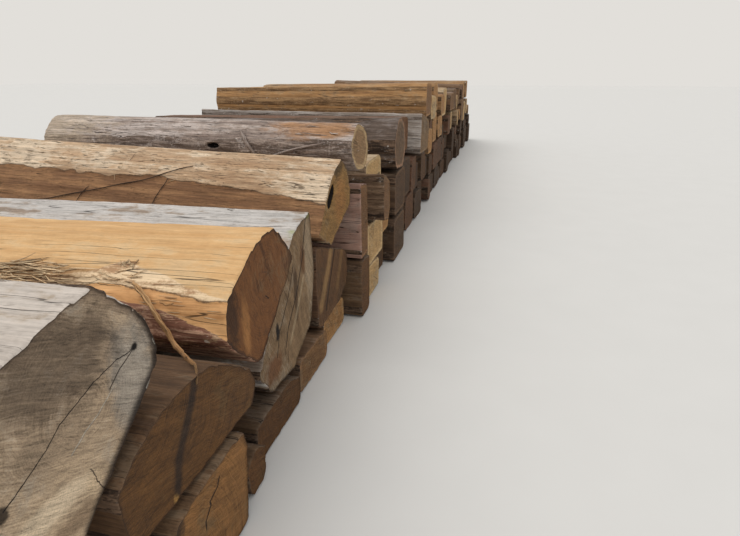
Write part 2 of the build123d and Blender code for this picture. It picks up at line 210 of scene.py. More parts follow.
class ShaderBench:
    """Adds nodes to one material or sky and hands back their outputs."""

    RELIEF_STRENGTH = 1.0
    WOOD_SPECULAR = 0.28
    SPOT_RAGGED = 1.6
    SPOT_FADE = (1.15, 0.5)
    FAR_OFF = 9.0

    def __init__(self, owner: Any) -> None:
        """Clears the owner's nodes.

        Args:
            owner: The material or the sky.
        """
        owner.use_nodes = True
        self.owner = owner
        self.tree = owner.node_tree
        self.tree.nodes.clear()

    def node(self, kind: str, settings: Dict[str, Any], sockets: Dict[Any, Any], output: Any = 0) -> Value:
        """Adds one node.

        Args:
            kind: The node's type.
            settings: Its own properties, set first.
            sockets: Values or links by socket name or place; a colour may be a screen colour.
            output: Which output to hand back.

        Returns:
            The chosen output.
        """
        made = self.tree.nodes.new(kind)
        for key, value in settings.items():
            setattr(made, key, value)
        for key, value in sockets.items():
            socket = made.inputs[key]
            if isinstance(value, Value):
                self.tree.links.new(value.socket, socket)
            elif socket.type == "RGBA":
                socket.default_value = (*(tint(value) if isinstance(value, str) else value), 1.0)
            else:
                socket.default_value = value
        return Value(self, made.outputs[output])

    def math(self, operation: str, *values: Any) -> Value:
        """Adds a Math node."""
        return self.node("ShaderNodeMath", {"operation": operation}, dict(enumerate(values)))

    def vector(self, operation: str, *values: Any, output: Any = 0) -> Value:
        """Adds a Vector Math node."""
        return self.node("ShaderNodeVectorMath", {"operation": operation}, dict(enumerate(values)), output)

    def attribute(self, name: str, output: str = "Fac") -> Value:
        """Reads a layer of numbers that the mesh carries."""
        return self.node("ShaderNodeAttribute", {"attribute_name": name}, {}, output)

    def noise(self, place: Value, stretch: Point, detail: int, rough: float = 0.5, warp: float = 0) -> Value:
        """Noise over a place whose axes are first stretched.

        Args:
            place: The place.
            stretch: Noise cells per metre along each axis.
            detail: Finer layers.
            rough: How strong the finer layers are.
            warp: How far the pattern distorts itself.

        Returns:
            A value of about 0.25 to 0.75.
        """
        scaled = self.vector("MULTIPLY", place, stretch)
        sockets = {"Vector": scaled, "Scale": 1.0, "Detail": detail, "Roughness": rough, "Distortion": warp}
        return self.node("ShaderNodeTexNoise", {}, sockets, "Fac")

    def pattern(self, place: Value, *grains: Grain) -> List[Value]:
        """Each of several noise patterns over a place."""
        return [self.noise(place, *grain.value) for grain in grains]

    def places(self) -> Tuple[Value, Value]:
        """Reads where a point lies.

        Returns:
            Its place on its log, and the same place moved so that no two logs share a pattern.
        """
        local = self.attribute("grain", "Vector")
        apart = self.node("ShaderNodeCombineXYZ", {}, {0: self.attribute("apart")})
        return local, self.vector("ADD", local, apart)

    def spread(self, amount: Value) -> Value:
        """One number as equal steps across and up."""
        return self.node("ShaderNodeCombineXYZ", {}, {1: amount, 2: amount})

    def polar(self, turn: Value, reach: Any, steps: float, detail: float) -> Value:
        """Noise that is drawn out along rings, or along rays where steps are many.

        Args:
            turn: The direction from the rings' middle.
            reach: How far out, in noise cells.
            steps: Noise cells around, for each unit of turn.
            detail: Finer layers.

        Returns:
            A value of about 0.25 to 0.75.
        """
        out = self.node("ShaderNodeCombineXYZ", {}, {0: self.attribute("apart") + reach})
        around = self.vector("ADD", self.vector("MULTIPLY", turn, (0.0, steps, steps)), out)
        return self.noise(around, (1.0, 1.0, 1.0), detail, 0.6)

    def spot(self, local: Value, spot: "Spot", ragged: Value) -> Value:
        """How much of a soft-edged patch covers a place.

        Args:
            local: The place on the log.
            spot: The patch.
            ragged: Noise that makes its edge ragged.

        Returns:
            0 outside to the patch's strength inside.
        """
        away = self.vector("SUBTRACT", local, spot.place)
        share = self.vector("MULTIPLY", away, tuple(1 / reach for reach in spot.reach))
        far = self.vector("LENGTH", share, output="Value") + (ragged - 0.5) * self.SPOT_RAGGED
        return far.step(*self.SPOT_FADE) * spot.strength

    def line_distance(self, place: Value, line: Sequence[Tuple[float, float]]) -> Value:
        """Distance in metres from a line of straight stretches across a log.

        Args:
            place: The place, with across and up as its second and third parts.
            line: The line's corners, across and up from the rings' middle.

        Returns:
            The distance.
        """
        best: Any = self.FAR_OFF
        for (y0, z0), (y1, z1) in zip(line, line[1:]):
            way = (0.0, y1 - y0, z1 - z0)
            from_start = self.vector("SUBTRACT", place, (0.0, y0, z0))
            along = self.vector("DOT_PRODUCT", from_start, way, output="Value") / (way[1] ** 2 + way[2] ** 2)
            share = along.most(0.0).least(1.0)
            foot = self.node("ShaderNodeVectorMath", {"operation": "SCALE"}, {0: way, "Scale": share})
            apart = self.vector("LENGTH", self.vector("SUBTRACT", from_start, foot), output="Value")
            best = apart.least(best)
        return best

    def mix(self, share: Any, first: Any, second: Any, blend: str = "MIX") -> Value:
        """Mixes two colours."""
        settings = {"data_type": "RGBA", "blend_type": blend}
        return self.node("ShaderNodeMix", settings, {0: share, 6: first, 7: second}, 2)

    def shade(self, colour: Value, share: Value) -> Value:
        """A colour made lighter or darker by a number."""
        grey = self.node("ShaderNodeCombineColor", {}, {0: share, 1: share, 2: share})
        return self.mix(1.0, colour, grey, "MULTIPLY")

    def close(self, kind: str, surface: Value) -> None:
        """Links a surface to an output node."""
        out = self.tree.nodes.new(kind)
        self.tree.links.new(surface.socket, out.inputs["Surface"])

    def finish(self, colour: Value, rough: Any, height: Value, depth: float) -> bpy.types.Material:
        """Closes the material with a dull surface.

        Args:
            colour: Base colour.
            rough: Roughness.
            height: Relief, as a number.
            depth: What one unit of relief is, in metres.

        Returns:
            The material.
        """
        relief = {"Strength": self.RELIEF_STRENGTH, "Distance": depth, "Height": height}
        normal = self.node("ShaderNodeBump", {}, relief, "Normal")
        sockets = {"Base Color": colour, "Roughness": rough, "Normal": normal}
        sockets["Specular IOR Level"] = self.WOOD_SPECULAR
        self.close("ShaderNodeOutputMaterial", self.node("ShaderNodeBsdfPrincipled", {}, sockets, "BSDF"))
        return self.owner


# Finishes

BLACK_CRACK = "120c08"
ROT_AND_SHADE_BLACK = "17100c"
TEAR_DARK = "46321f"
SIDE_DIRT = "4c3826"
SHAKE_DARK = "21160e"
PAINTED_EDGE_SHADOW = "2e1d11"
PALE_FLAKE = "d9cfc2"
END_DIRT = "34241a"
CHECK_DARK = "150d08"
RIM_DARK = "2c1e14"
SIDE_RELIEF = 0.005
END_RELIEF = 0.004


@dataclass(frozen=True)
class Spot:
    """A soft-edged patch of colour, placed along, across and up from the middle of the butt, in metres."""

    colour: Colour
    place: Point
    reach: Point
    strength: float = 0.8


def end_spot(colour: Colour, across: float, up: float, wide: float, tall: float, strength: float) -> Spot:
    """A patch on a butt, placed and sized across and up."""
    return Spot(colour, (0.0, across, up), (1.0, wide, tall), strength)


@dataclass(frozen=True)
class Line:
    """A crack or a streak on a butt, placed across and up from its middle, in metres."""

    colour: Colour
    course: Course
    width: float
    strength: float = 0.9
    sunk: float = 0.8


@dataclass(frozen=True)
class SideFinish:
    """Colours and texture of a log's long faces.

    Attributes:
        fresh: The wood's lighter colour.
        deep: Its darker colour.
        worn: The colour of weathered patches.
        bark: Bark.
        furrow: The bark's furrows.
        grey: How far weathering has gone, 0 to 1.
        dirt: How much dirt there is.
        grain: How strongly the fibres show.
        flecks: How many short dark tears there are.
        low: Colours of the face below the log's drawn edge, light and dark.
        lip: Colours of the torn strip above that edge, light and dark.
        spots: Patches of other colours.
    """

    fresh: Colour
    deep: Colour
    worn: Colour
    bark: Colour = "6a5442"
    furrow: Colour = "33261c"
    grey: float = 0.4
    dirt: float = 0.4
    grain: float = 1.0
    flecks: float = 0.4
    low: Optional[Tuple[Colour, Colour]] = None
    lip: Optional[Tuple[Colour, Colour]] = None
    spots: Tuple[Spot, ...] = ()

    def material(self, name: str) -> bpy.types.Material:
        """Builds the material.

        Args:
            name: Its name.

        Returns:
            The material.
        """
        b = ShaderBench(bpy.data.materials.new(name))
        local, place = b.places()
        zone = b.attribute("zone")
        fine, fibre, streak = b.pattern(place, Grain.FINE, Grain.FIBRE, Grain.STREAK)
        cloud, mottle, speck = b.pattern(place, Grain.CLOUD, Grain.MOTTLE, Grain.SPECK)
        shaking, flecking = b.pattern(place, Grain.SHAKE, Grain.FLECK)
        blend = streak * 0.4 + cloud * 0.3 + mottle * 0.3
        wood = b.mix(blend.step(0.36, 0.62), self.deep, self.fresh)
        up = b.node("ShaderNodeSeparateXYZ", {}, {0: b.node("ShaderNodeNewGeometry", {}, {}, "Normal")}, "Z")
        worn = cloud + up * 0.07 + (mottle - 0.5) * 0.9 + (streak - 0.5) * 0.5
        worn = worn.step(0.64 - self.grey * 0.3, 0.78 - self.grey * 0.22)
        wood = b.mix(worn * (0.3 + self.grey * 0.6), wood, self.worn)
        fleck = (flecking + (mottle - 0.5) * 0.5).step(0.6, 0.68)
        wood = b.mix(fleck * self.flecks, wood, TEAR_DARK)
        torn = (mottle - 0.5) * 0.6 + (fibre - 0.5) * 0.6
        if self.lip:
            strip = (b.attribute("lip") + torn * 0.02).step(-0.003, 0.004)
            flaky = (speck * 0.25 + mottle * 0.4 + streak * 0.35 + torn * 0.3).step(0.4, 0.56)
            wood = b.mix(strip, wood, b.mix(flaky, self.lip[1], self.lip[0]))
        if self.low:
            below = (zone + (mottle - 0.5) * 0.02).step(-0.002, 0.003)
            wood = b.mix(below, wood, b.mix(blend.step(0.4, 0.6), self.low[1], self.low[0]))
        shake = b.math("ABSOLUTE", shaking - 0.5).step(0.009, 0.002) * cloud.step(0.47, 0.58)
        dirt = (mottle * 0.55 + cloud * 0.45).step(0.52, 0.66)
        wood = b.mix(dirt * self.dirt, wood, SIDE_DIRT)
        wood = b.mix(shake * 0.8, wood, SHAKE_DARK)
        rind, furrow = self.rind(b, place, mottle, speck)
        cover = b.attribute("bark") + (fibre - 0.5) * 0.9 + (mottle - 0.5) * 0.7
        fringe = cover.step(0.36, 0.47) * cover.step(0.6, 0.5)
        cover = cover.step(0.47, 0.52)
        colour = b.mix(fringe * 0.3, b.mix(cover, wood, rind), self.fresh)
        for spot in self.spots:
            colour = b.mix(b.spot(local, spot, mottle), colour, spot.colour)
        if self.low:
            # Painted shadow: a dark band along the step where the face below the drawn edge sinks.
            colour = b.mix(below * (1.0 - below) * 2.8, colour, PAINTED_EDGE_SHADOW)
        else:
            # Black in the knot hole: real rot, and painted shade on the hole's walls.
            colour = b.mix((zone + torn * 0.004).step(0.008, 0.02), colour, ROT_AND_SHADE_BLACK)
        lively = 1.0 + ((fine - 0.5) * 0.9 + (fibre - 0.5) * 0.9 + (speck - 0.5) * 0.35) * self.grain
        colour = b.shade(colour, lively * b.attribute("tone"))
        plain = fibre * 0.8 + fine * 0.25 - fleck * (0.5 * self.flecks) - shake * 0.9
        height = plain * self.grain + cover * (furrow * 1.6 + speck * 0.5 - fibre * 0.5)
        return b.finish(colour, 0.68 + (mottle * 0.3 + cover * 0.08), height, SIDE_RELIEF)

    def rind(self, b: ShaderBench, place: Value, mottle: Value, speck: Value) -> Tuple[Value, Value]:
        """Colours the bark.

        Args:
            b: Where its nodes go.
            place: The place on the log.
            mottle: Middling noise.
            speck: Fine noise.

        Returns:
            The bark's colour, and how high its ridges stand.
        """
        furrow, flaking = b.pattern(place, Grain.FURROW, Grain.FLAKE)
        rind = b.mix((furrow + (speck - 0.5) * 0.25).step(0.6, 0.42), self.bark, self.furrow)
        rind = b.mix((mottle + (speck - 0.5) * 0.3).step(0.56, 0.66) * 0.45, rind, self.worn)
        flake = flaking.step(0.66, 0.7) * mottle.step(0.5, 0.58)
        return b.mix(flake * 0.8, rind, PALE_FLAKE), furrow


@dataclass(frozen=True)
class EndFinish:
    """Colours and texture of a log's sawn ends.

    Attributes:
        heart: The wood's lighter colour.
        deep: Its darker colour.
        sap: The colour of the outer wood.
        worn: The colour of weathered patches.
        sapwood: How wide the outer wood is, as a share.
        wear: How much is weathered.
        dirt: How much dirt there is.
        checks: How strongly drying cracks show.
        pith: The rings' middle, across and up from the middle of the butt.
        spots: Patches of other colours.
        lines: Cracks and streaks.
        rings: How strongly growth rings show.
        saw: How strongly saw marks show, and their slope across the butt.
        painted_shade: Painted shade, dark and warm, laid on every colour of the ends, as a factor.
    """

    heart: Colour
    deep: Colour
    sap: Colour
    worn: Colour
    sapwood: float = 0.1
    wear: float = 0.35
    dirt: float = 0.4
    checks: float = 0.5
    pith: Optional[Tuple[float, float]] = None
    spots: Tuple[Spot, ...] = ()
    lines: Tuple[Line, ...] = ()
    rings: float = 0.55
    saw: Tuple[float, float] = (0.7, 0.3)
    painted_shade: Light = (0.9, 0.82, 0.66)

    def material(self, name: str) -> bpy.types.Material:
        """Builds the material.

        Args:
            name: Its name.

        Returns:
            The material.
        """
        b = ShaderBench(bpy.data.materials.new(name))
        local, place = b.places()
        rim = b.attribute("rim")
        face = b.vector("MULTIPLY", local, (0.0, 1.0, 1.0))
        radius = b.vector("LENGTH", face, output="Value")
        turn = b.vector("NORMALIZE", face)
        wander, cloud = b.pattern(place, Grain.END_WANDER, Grain.END_CLOUD)
        mottle, pore = b.pattern(place, Grain.END_MOTTLE, Grain.END_PORE)
        ring, broad, ray = (
            b.polar(turn, radius * outwards + wander * sway, around, detail)
            for outwards, sway, around, detail in (kind.value for kind in Rings)
        )
        bite, slope = self.saw
        sawn = b.vector("ADD", place, b.spread(wander * 0.035))
        sawn = b.node("ShaderNodeVectorRotate", {"rotation_type": "X_AXIS"}, {"Vector": sawn, "Angle": slope})
        saw, kerf, smear = b.pattern(sawn, Grain.SAW, Grain.KERF, Grain.SMEAR)
        grainy = ring * (0.2 + self.rings * 0.3) + broad * (0.6 * self.rings)
        grainy = grainy + smear * (0.8 - self.rings * 0.9)
        wood = b.mix((grainy + mottle * 0.2).step(0.4, 0.62), self.deep, self.heart)
        outer = (rim + (mottle - 0.5) * 0.12).step(1.0 - self.sapwood * 1.4, 1.0 - self.sapwood * 0.6)
        wood = b.mix(outer * 0.8, wood, self.sap)
        worn = cloud + (mottle - 0.5) * 0.8 + (saw - 0.5) * 0.4
        worn = worn.step(0.62 - self.wear * 0.3, 0.76 - self.wear * 0.2)
        wood = b.mix(worn * 0.75, wood, self.worn)
        dirt = (mottle * 0.6 + cloud * 0.4).step(0.52, 0.66)
        wood = b.mix(dirt * self.dirt, wood, END_DIRT)
        spoke = b.math("ABSOLUTE", b.polar(turn, 3.0, 3.1, 1) - 0.5)
        crack = (spoke * radius).step(0.0011, 0.0003) * (wander + (cloud - 0.5)).step(0.5, 0.6)
        crack = crack * rim.step(0.06, 0.2) * rim.step(0.97, 0.8) * self.checks
        wood = b.mix(crack * 0.9, wood, CHECK_DARK)
        wood, sunk = self.marks(b, wood, crack * 1.2, face, wander, mottle)
        wood = b.mix((rim + (mottle - 0.5) * 0.03).step(0.975, 0.993) * 0.6, wood, RIM_DARK)
        # Painted shade: darkens and warms every colour of the ends.
        wood = b.mix(1.0, wood, self.painted_shade, "MULTIPLY")
        # Black in the sunk pocket of the end: real rot, and painted shade on its walls.
        wood = b.mix(b.attribute("zone").step(0.005, 0.008), wood, ROT_AND_SHADE_BLACK)
        fine = (ring - 0.5) * (0.4 + self.rings) + (saw - 0.5) * (bite * 2.2) + (kerf - 0.5) * bite
        lively = 1.0 + fine + (pore - 0.5) * 0.9 + (ray - 0.5) * 0.5 + (mottle - 0.5) * 0.6
        colour = b.shade(wood, lively * b.attribute("tone"))
        height = ring * 0.6 + pore * 0.35 + (saw + kerf) * bite + mottle * 0.5 - sunk
        return b.finish(colour, 0.72 + mottle * 0.25, height, END_RELIEF)

    def marks(
        self, b: ShaderBench, wood: Value, sunk: Value, face: Value, wander: Value, mottle: Value
    ) -> Tuple[Value, Value]:
        """Adds the patches, cracks and streaks.

        Args:
            b: Where their nodes go.
            wood: The colour under them.
            sunk: How deep the surface lies before them.
            face: The place across and up from the rings' middle.
            wander: Broad noise.
            mottle: Middling noise.

        Returns:
            The colour and the depth after them.
        """
        middle = self.pith or (0.0, 0.0)
        for spot in self.spots:
            moved = replace(spot, place=(0.0, spot.place[1] - middle[0], spot.place[2] - middle[1]))
            wood = b.mix(b.spot(face, moved, mottle), wood, spot.colour)
        shaken = b.vector("ADD", face, b.spread((wander - 0.5) * 0.03 + (mottle - 0.5) * 0.02))
        for line in self.lines:
            course = [(y - middle[0], z - middle[1]) for y, z in line.course]
            mark = b.line_distance(shaken, course).step(line.width, line.width * 0.25)
            wood = b.mix(mark * line.strength, wood, line.colour)
            sunk = sunk + mark * line.sunk
        return wood, sunk


class Wood(Enum):
    """The kinds of worn wood in the heap."""

    GREAT_GREY = "great grey"
    PEELED = "peeled tan"
    WEATHERED = "weathered grey"
    ROUGH_CREAM = "rough cream"
    ROUND_GREY = "round grey"
    CHARCOAL = "charcoal"
    AMBER = "amber"
    FLAT_GREY = "flat grey"
    STREAKED = "streaked brown"
    CRACKED = "cracked brown"
    SHADED = "shaded brown"
    RED_BROWN = "red brown"
    SPLIT_BROWN = "split brown"
    PINK = "pink"
    SPLINTERED = "splintered"
    CREAM = "cream"
    TAN = "tan"
    BARK_STRIP = "bark strip"
    FIBRE = "torn fibre"
    TWIG = "twig"
    BROWN = "brown"
    UMBER = "umber"


SIDES: Dict[Wood, SideFinish] = {
    Wood.GREAT_GREY: SideFinish(
        "bdae9c", "93816d", "c4bab0", grey=0.6, dirt=0.2, grain=0.7, flecks=0.25,
        spots=(Spot("b58f80", (0.5, -0.1, 0.3), (0.25, 0.12, 0.2), 0.5),),
    ),
    Wood.PEELED: SideFinish(
        "d3ac7a", "bd9362", "cdb189", "b28c72", "7a5341", 0.25, 0.1, 0.5, 0.1,
        low=("dcaa74", "b07e4e"),
        lip=("dcc19c", "a98460"),
        spots=(
            Spot("7d5a3a", (0.86, -0.215, 0.13), (0.3, 0.05, 0.08), 0.75),
            Spot("4c3220", (0.8, -0.245, 0.11), (0.26, 0.022, 0.05), 0.7),
            Spot("8a6a48", (1.35, -0.24, 0.12), (0.3, 0.03, 0.06), 0.6),
            Spot("5d4028", (0.44, -0.15, 0.16), (0.035, 0.012, 0.03), 0.8),
        ),
    ),
    Wood.WEATHERED: SideFinish(
        "b6a898", "8b7a6a", "bdb8b2", grey=0.9, dirt=0.12, flecks=0.3,
        spots=(Spot("8f9450", (0.01, 0.1, 0.33), (0.035, 0.045, 0.06), 0.75),),
    ),
    Wood.ROUGH_CREAM: SideFinish(
        "c4aa8b", "98795b", "cfbda4", grey=0.5, dirt=0.22, grain=1.3, flecks=0.75, low=("916c4a", "6c4c32")
    ),
    Wood.ROUND_GREY: SideFinish(
        "b3a295", "7f6f65", "b9ada5", "96867a", "6b5b50", 0.6, 0.15, 1.7, 0.6,
        spots=(
            Spot("a0744b", (0.26, -0.07, 0.11), (0.34, 0.1, 0.07), 0.8),
            Spot("b9a78f", (2.3, 0.0, 0.1), (0.6, 0.3, 0.2), 0.6),
        ),
    ),
    Wood.CHARCOAL: SideFinish("6f5f54", "483b31", "7b716b", grey=0.6, dirt=0.35, grain=1.5, flecks=0.6),
    Wood.AMBER: SideFinish("b98d5c", "86623f", "a88f70", "9b7a55", "6d5136", 0.25, 0.3),
    Wood.FLAT_GREY: SideFinish("a89c91", "7d7064", "b0a79e", "8d8075", "61554b", 0.6, 0.2),
    Wood.STREAKED: SideFinish("6a4f37", "483423", "6f6251", grey=0.3, dirt=0.45),
    Wood.CRACKED: SideFinish("7a5e43", "543e2b", "796a57", grey=0.3, dirt=0.45),
    Wood.SHADED: SideFinish("6f573f", "4c3827", "74675a", grey=0.35, dirt=0.45),
    Wood.RED_BROWN: SideFinish("7e5a44", "533a2b", "7a6a5b", grey=0.3),
    Wood.SPLIT_BROWN: SideFinish("7a5b42", "50392a", "7a6a5b", grey=0.3),
    Wood.PINK: SideFinish("b08c7a", "84675a", "a59388", grey=0.3, dirt=0.3, grain=0.8),
    Wood.SPLINTERED: SideFinish("836a53", "54402f", "8d8070", grey=0.5, grain=2.0, flecks=0.8),
    Wood.CREAM: SideFinish("b59c79", "8d7151", "b0a088", "8a745c", "5d4a39", 0.4, 0.35, 1.0, 0.5),
    Wood.TAN: SideFinish("a88258", "7c5b3b", "a08c71", "80664b", "553f2c", 0.3, 0.4, 1.0, 0.5),
    Wood.BARK_STRIP: SideFinish("c59b6c", "8e663f", "b0926c", grey=0.1, dirt=0.1, grain=1.3),
    Wood.FIBRE: SideFinish("e3c8a0", "b08b62", "cbb08a", grey=0.1, dirt=0.05, grain=0.8),
    Wood.TWIG: SideFinish("4a382a", "2e2219", "5b4a3b", grey=0.1, dirt=0.2),
    Wood.BROWN: SideFinish("84654a", "5a432f", "897a69", flecks=0.5),
    Wood.UMBER: SideFinish("5c4633", "3c2c1f", "695d50", grey=0.35, flecks=0.5),
}

ENDS: Dict[Wood, EndFinish] = {
    Wood.GREAT_GREY: EndFinish(
        "b09a80", "7a6651", "8b7763", "aa9d8c", 0.05, 0.45, 0.25, 0.1, (0.1, 0.06),
        (
            end_spot("9c958b", 0.26, 0.04, 0.09, 0.18, 0.75),
            end_spot("54463a", 0.05, 0.19, 0.22, 0.13, 0.7),
            end_spot("8b7863", 0.0, 0.03, 0.12, 0.09, 0.5),
            end_spot("bda588", -0.06, -0.14, 0.26, 0.14, 0.8),
            end_spot("dfcbae", -0.03, -0.1, 0.11, 0.035, 0.7),
            end_spot("dcc2a0", 0.08, -0.19, 0.035, 0.1, 0.6),
            end_spot("7b644d", 0.02, -0.17, 0.09, 0.03, 0.6),
            end_spot("1d130c", -0.13, -0.02, 0.018, 0.018, 0.9),
            end_spot(BLACK_CRACK, 0.281, 0.112, 0.014, 0.012, 1.0),
        ),
        (
            Line(
                BLACK_CRACK,
                ((0.281, 0.11), (0.204, 0.106), (0.134, 0.094), (0.082, 0.077), (0.031, 0.061),
                 (-0.011, 0.032), (-0.065, 0.01), (-0.126, -0.019)),
                0.0016, 0.95, 1.5,
            ),
            Line("2b2019", ((0.275, 0.108), (0.219, 0.082), (0.176, 0.052)), 0.002, 0.9, 1.2),
            Line(
                "251a13",
                ((0.22, 0.302), (0.32, 0.2), (0.352, 0.13), (0.362, 0.07), (0.342, 0.02), (0.2, -0.097),
                 (0.05, -0.214)),
                0.034, 0.9, 0.6,
            ),
            Line("cfc6b8", ((0.349, 0.1), (0.351, 0.082)), 0.003, 0.9, -1.0),
            Line("cfc6b8", ((0.318, 0.006), (0.296, -0.012)), 0.004, 0.9, -1.0),
            Line("c9bfb0", ((0.19, 0.052), (0.132, 0.018), (0.087, 0.003), (0.04, -0.023)), 0.003, 0.7, -0.8),
            Line("2b2019", ((0.074, -0.09), (0.11, -0.171)), 0.002, 0.8, 1.0),
        ),
        0.22, (0.85, 0.5), (0.93, 0.91, 0.88),
    ),
    Wood.PEELED: EndFinish(
        "714c2e", "4a301d", "422c1d", "785f48", 0.05, 0.3, 0.35, 0.3, (0.07, 0.074),
        (
            end_spot("2e1f16", -0.24, 0.03, 0.045, 0.16, 0.75),
            end_spot("a0744a", -0.15, -0.06, 0.035, 0.12, 0.7),
            end_spot("3d2a1c", 0.3, 0.0, 0.05, 0.2, 0.6),
        ),
        (Line("20150e", ((0.02, -0.01), (0.045, -0.03)), 0.004, 0.9, 1.0),),
        0.35, (0.5, 1.2),
    ),
    Wood.WEATHERED: EndFinish(
        "7f6a54", "4f3c2a", "75634f", "90857a", 0.06, 0.45, 0.4, 0.4, (-0.5, -0.2),
        (
            end_spot("a3978a", 0.27, 0.12, 0.06, 0.25, 0.5),
            end_spot("5b3c22", 0.2, 0.14, 0.035, 0.1, 0.8),
            end_spot("3a2716", 0.09, 0.03, 0.03, 0.16, 0.7),
            end_spot("6b4527", -0.2, -0.23, 0.09, 0.08, 0.8),
            end_spot("160e09", -0.138, -0.08, 0.022, 0.045, 1.0),
            end_spot("72753f", 0.29, 0.34, 0.05, 0.03, 0.7),
        ),
        (
            Line(
                "22160e", ((0.26, 0.32), (0.2, 0.15), (0.1, 0.0), (-0.02, -0.12), (-0.06, -0.2)),
                0.007, 0.85, 1.4,
            ),
            Line("22160e", ((0.08, 0.15), (0.0, 0.02), (-0.12, -0.1), (-0.16, -0.2)), 0.005, 0.85, 1.2),
            Line("aea08c", ((0.2, 0.05), (0.1, -0.08), (0.0, -0.2)), 0.02, 0.45, 0.0),
        ),
        0.4, (0.6, 1.1),
    ),
    Wood.ROUGH_CREAM: EndFinish(
        "8a6c43", "5c4428", "8a6f50", "86745a", 0.05, 0.3, 0.5, 0.4, (0.05, -0.3),
        (
            end_spot("94683d", 0.1, -0.02, 0.12, 0.14, 0.55),
            end_spot("4a3a24", 0.05, 0.19, 0.13, 0.06, 0.75),
            end_spot("77704a", -0.18, 0.1, 0.05, 0.09, 0.5),
        ),
    ),
    Wood.ROUND_GREY: EndFinish("8a7158", "67513b", "b8a284", "93826e", 0.2, 0.3, 0.35, 0.7, (0.01, 0.0)),
    Wood.CHARCOAL: EndFinish("66513f", "4a382b", "a07f6c", "6f6258", 0.12, 0.35, 0.4, 0.6, (0.0, 0.0)),
    Wood.AMBER: EndFinish("7d5c3e", "5d4029", "9b7850", "7c6a56", 0.12, 0.25, 0.4, 0.6),
    Wood.FLAT_GREY: EndFinish("725d47", "503f2f", "806a53", "82766a", 0.1, 0.4, 0.4, 0.6),
    Wood.STREAKED: EndFinish(
        "614529", "432e1b", "573e27", "645038", 0.05, 0.3, 0.3, 0.1, (-0.3, 0.3),
        (end_spot("a98652", -0.154, -0.141, 0.012, 0.016, 0.7),),
        (
            Line(
                "1c1a1d",
                ((0.0, 0.135), (-0.019, 0.098), (-0.078, 0.018), (-0.115, -0.034), (-0.128, -0.088),
                 (-0.14, -0.125)),
                0.03, 0.75, 0.0,
            ),
            Line(SHAKE_DARK, ((-0.068, 0.167), (-0.163, 0.151)), 0.004, 0.8, 1.0),
        ),
    ),
    Wood.CRACKED: EndFinish(
        "87633e", "624627", "6d4f32", "7c664b", 0.05, 0.25, 0.35, 0.2, (-0.22, -0.1),
        (end_spot("241b16", -0.19, 0.14, 0.03, 0.06, 0.8),),
        (
            Line(
                BLACK_CRACK,
                ((0.03, 0.125), (0.017, 0.103), (-0.03, 0.09), (-0.028, 0.075), (-0.06, 0.048),
                 (-0.062, 0.02)),
                0.0045, 0.95, 1.5,
            ),
        ),
    ),
    Wood.SHADED: EndFinish("5e4023", "422b16", "5c4023", "5c472e", 0.08, 0.25, 0.4, 0.4),
    Wood.RED_BROWN: EndFinish("654730", "40291b", "72533b", "5f4c3d", 0.08, 0.2),
    Wood.SPLIT_BROWN: EndFinish(
        "654931", "3a281a", "6c5039", "604c39", 0.08, 0.2, 0.5, 0.5, (0.5, -0.2), (),
        (
            Line("a98a62", ((0.0, 0.2), (-0.06, 0.08), (-0.14, -0.03), (-0.21, -0.12)), 0.05, 0.6, -0.2),
            Line("957650", ((0.2, 0.19), (0.17, 0.05), (0.09, -0.1)), 0.045, 0.4, 0.0),
            Line("21150d", ((0.07, 0.2), (0.01, 0.07), (-0.07, -0.06), (-0.13, -0.17)), 0.014, 0.8, 1.5),
        ),
        0.35, (0.6, 1.2),
    ),
    Wood.PINK: EndFinish("6d5038", "4f3826", "876549", "75614e", 0.08, 0.25, 0.4, 0.4),
    Wood.SPLINTERED: EndFinish("6e5239", "4b3625", "84664a", "776451", 0.1, 0.3, 0.5, 0.9),
    Wood.CREAM: EndFinish("b3966e", "8d6f4c", "c4ad8b", "a89a84", 0.14, 0.3, 0.35, 0.7),
    Wood.TAN: EndFinish("9c774f", "76553a", "b28e66", "91806a", 0.12, 0.3, 0.4, 0.7),
    Wood.BROWN: EndFinish("725539", "533d29", "8b6b4e", "776652", 0.12, 0.3, 0.4, 0.7),
    Wood.UMBER: EndFinish("4f3a27", "35261a", "644c36", "5a4c3f", 0.12, 0.3, 0.4, 0.6),
}


# Logs of the frame

END_SKIN = 0.001
FRONT_REACH = 0.12
FRONT_FACING = 0.9
POCKET_INSIDE = 0.02
POCKET_BEFORE_TAIL = 0.1
TINY = 1e-12


@dataclass
class Solid:
    """One log of the frame: its axes, its length and its outline at both ends.

    Attributes:
        heart: The middle of the butt, in metres.
        along: From the butt to the tail.
        across: To the right as seen facing the butt.
        up: Square to the other two.
        length: Butt to tail.
        butt: The butt's outline, across and up from the heart.
        tail: The tail's outline.
        pocket: Corners of a hole cut into it, along, across and up.
    """

    heart: np.ndarray
    along: np.ndarray
    across: np.ndarray
    up: np.ndarray
    length: float
    butt: np.ndarray
    tail: np.ndarray
    pocket: np.ndarray

    def at(self, along: float, across: float, up: float) -> np.ndarray:
        """The place in the heap of a place on the log."""
        return self.heart + along * self.along + across * self.across + up * self.up


def half_hull(row: Sequence[Tuple[float, float]]) -> List[Tuple[float, float]]:
    """Walks one side of a convex outline.

    Args:
        row: Flat points in order.

    Returns:
        The side's corners without its last.
    """
    kept: List[Tuple[float, float]] = []
    for p in row:
        while len(kept) > 1:
            (ax, ay), (bx, by) = kept[-2:]
            if (bx - ax) * (p[1] - ay) - (by - ay) * (p[0] - ax) > 0:
                break
            kept.pop()
        kept.append(p)
    return kept[:-1]


def unit(rows: np.ndarray) -> np.ndarray:
    """Rows of directions scaled to a length of one."""
    return rows / (np.linalg.norm(rows, axis=1)[:, None] + TINY)


def hull(points: np.ndarray) -> np.ndarray:
    """The convex outline around flat points, counter-clockwise."""
    ordered = sorted(set(map(tuple, np.round(points, 6))))
    return np.array(half_hull(ordered) + half_hull(ordered[::-1]))


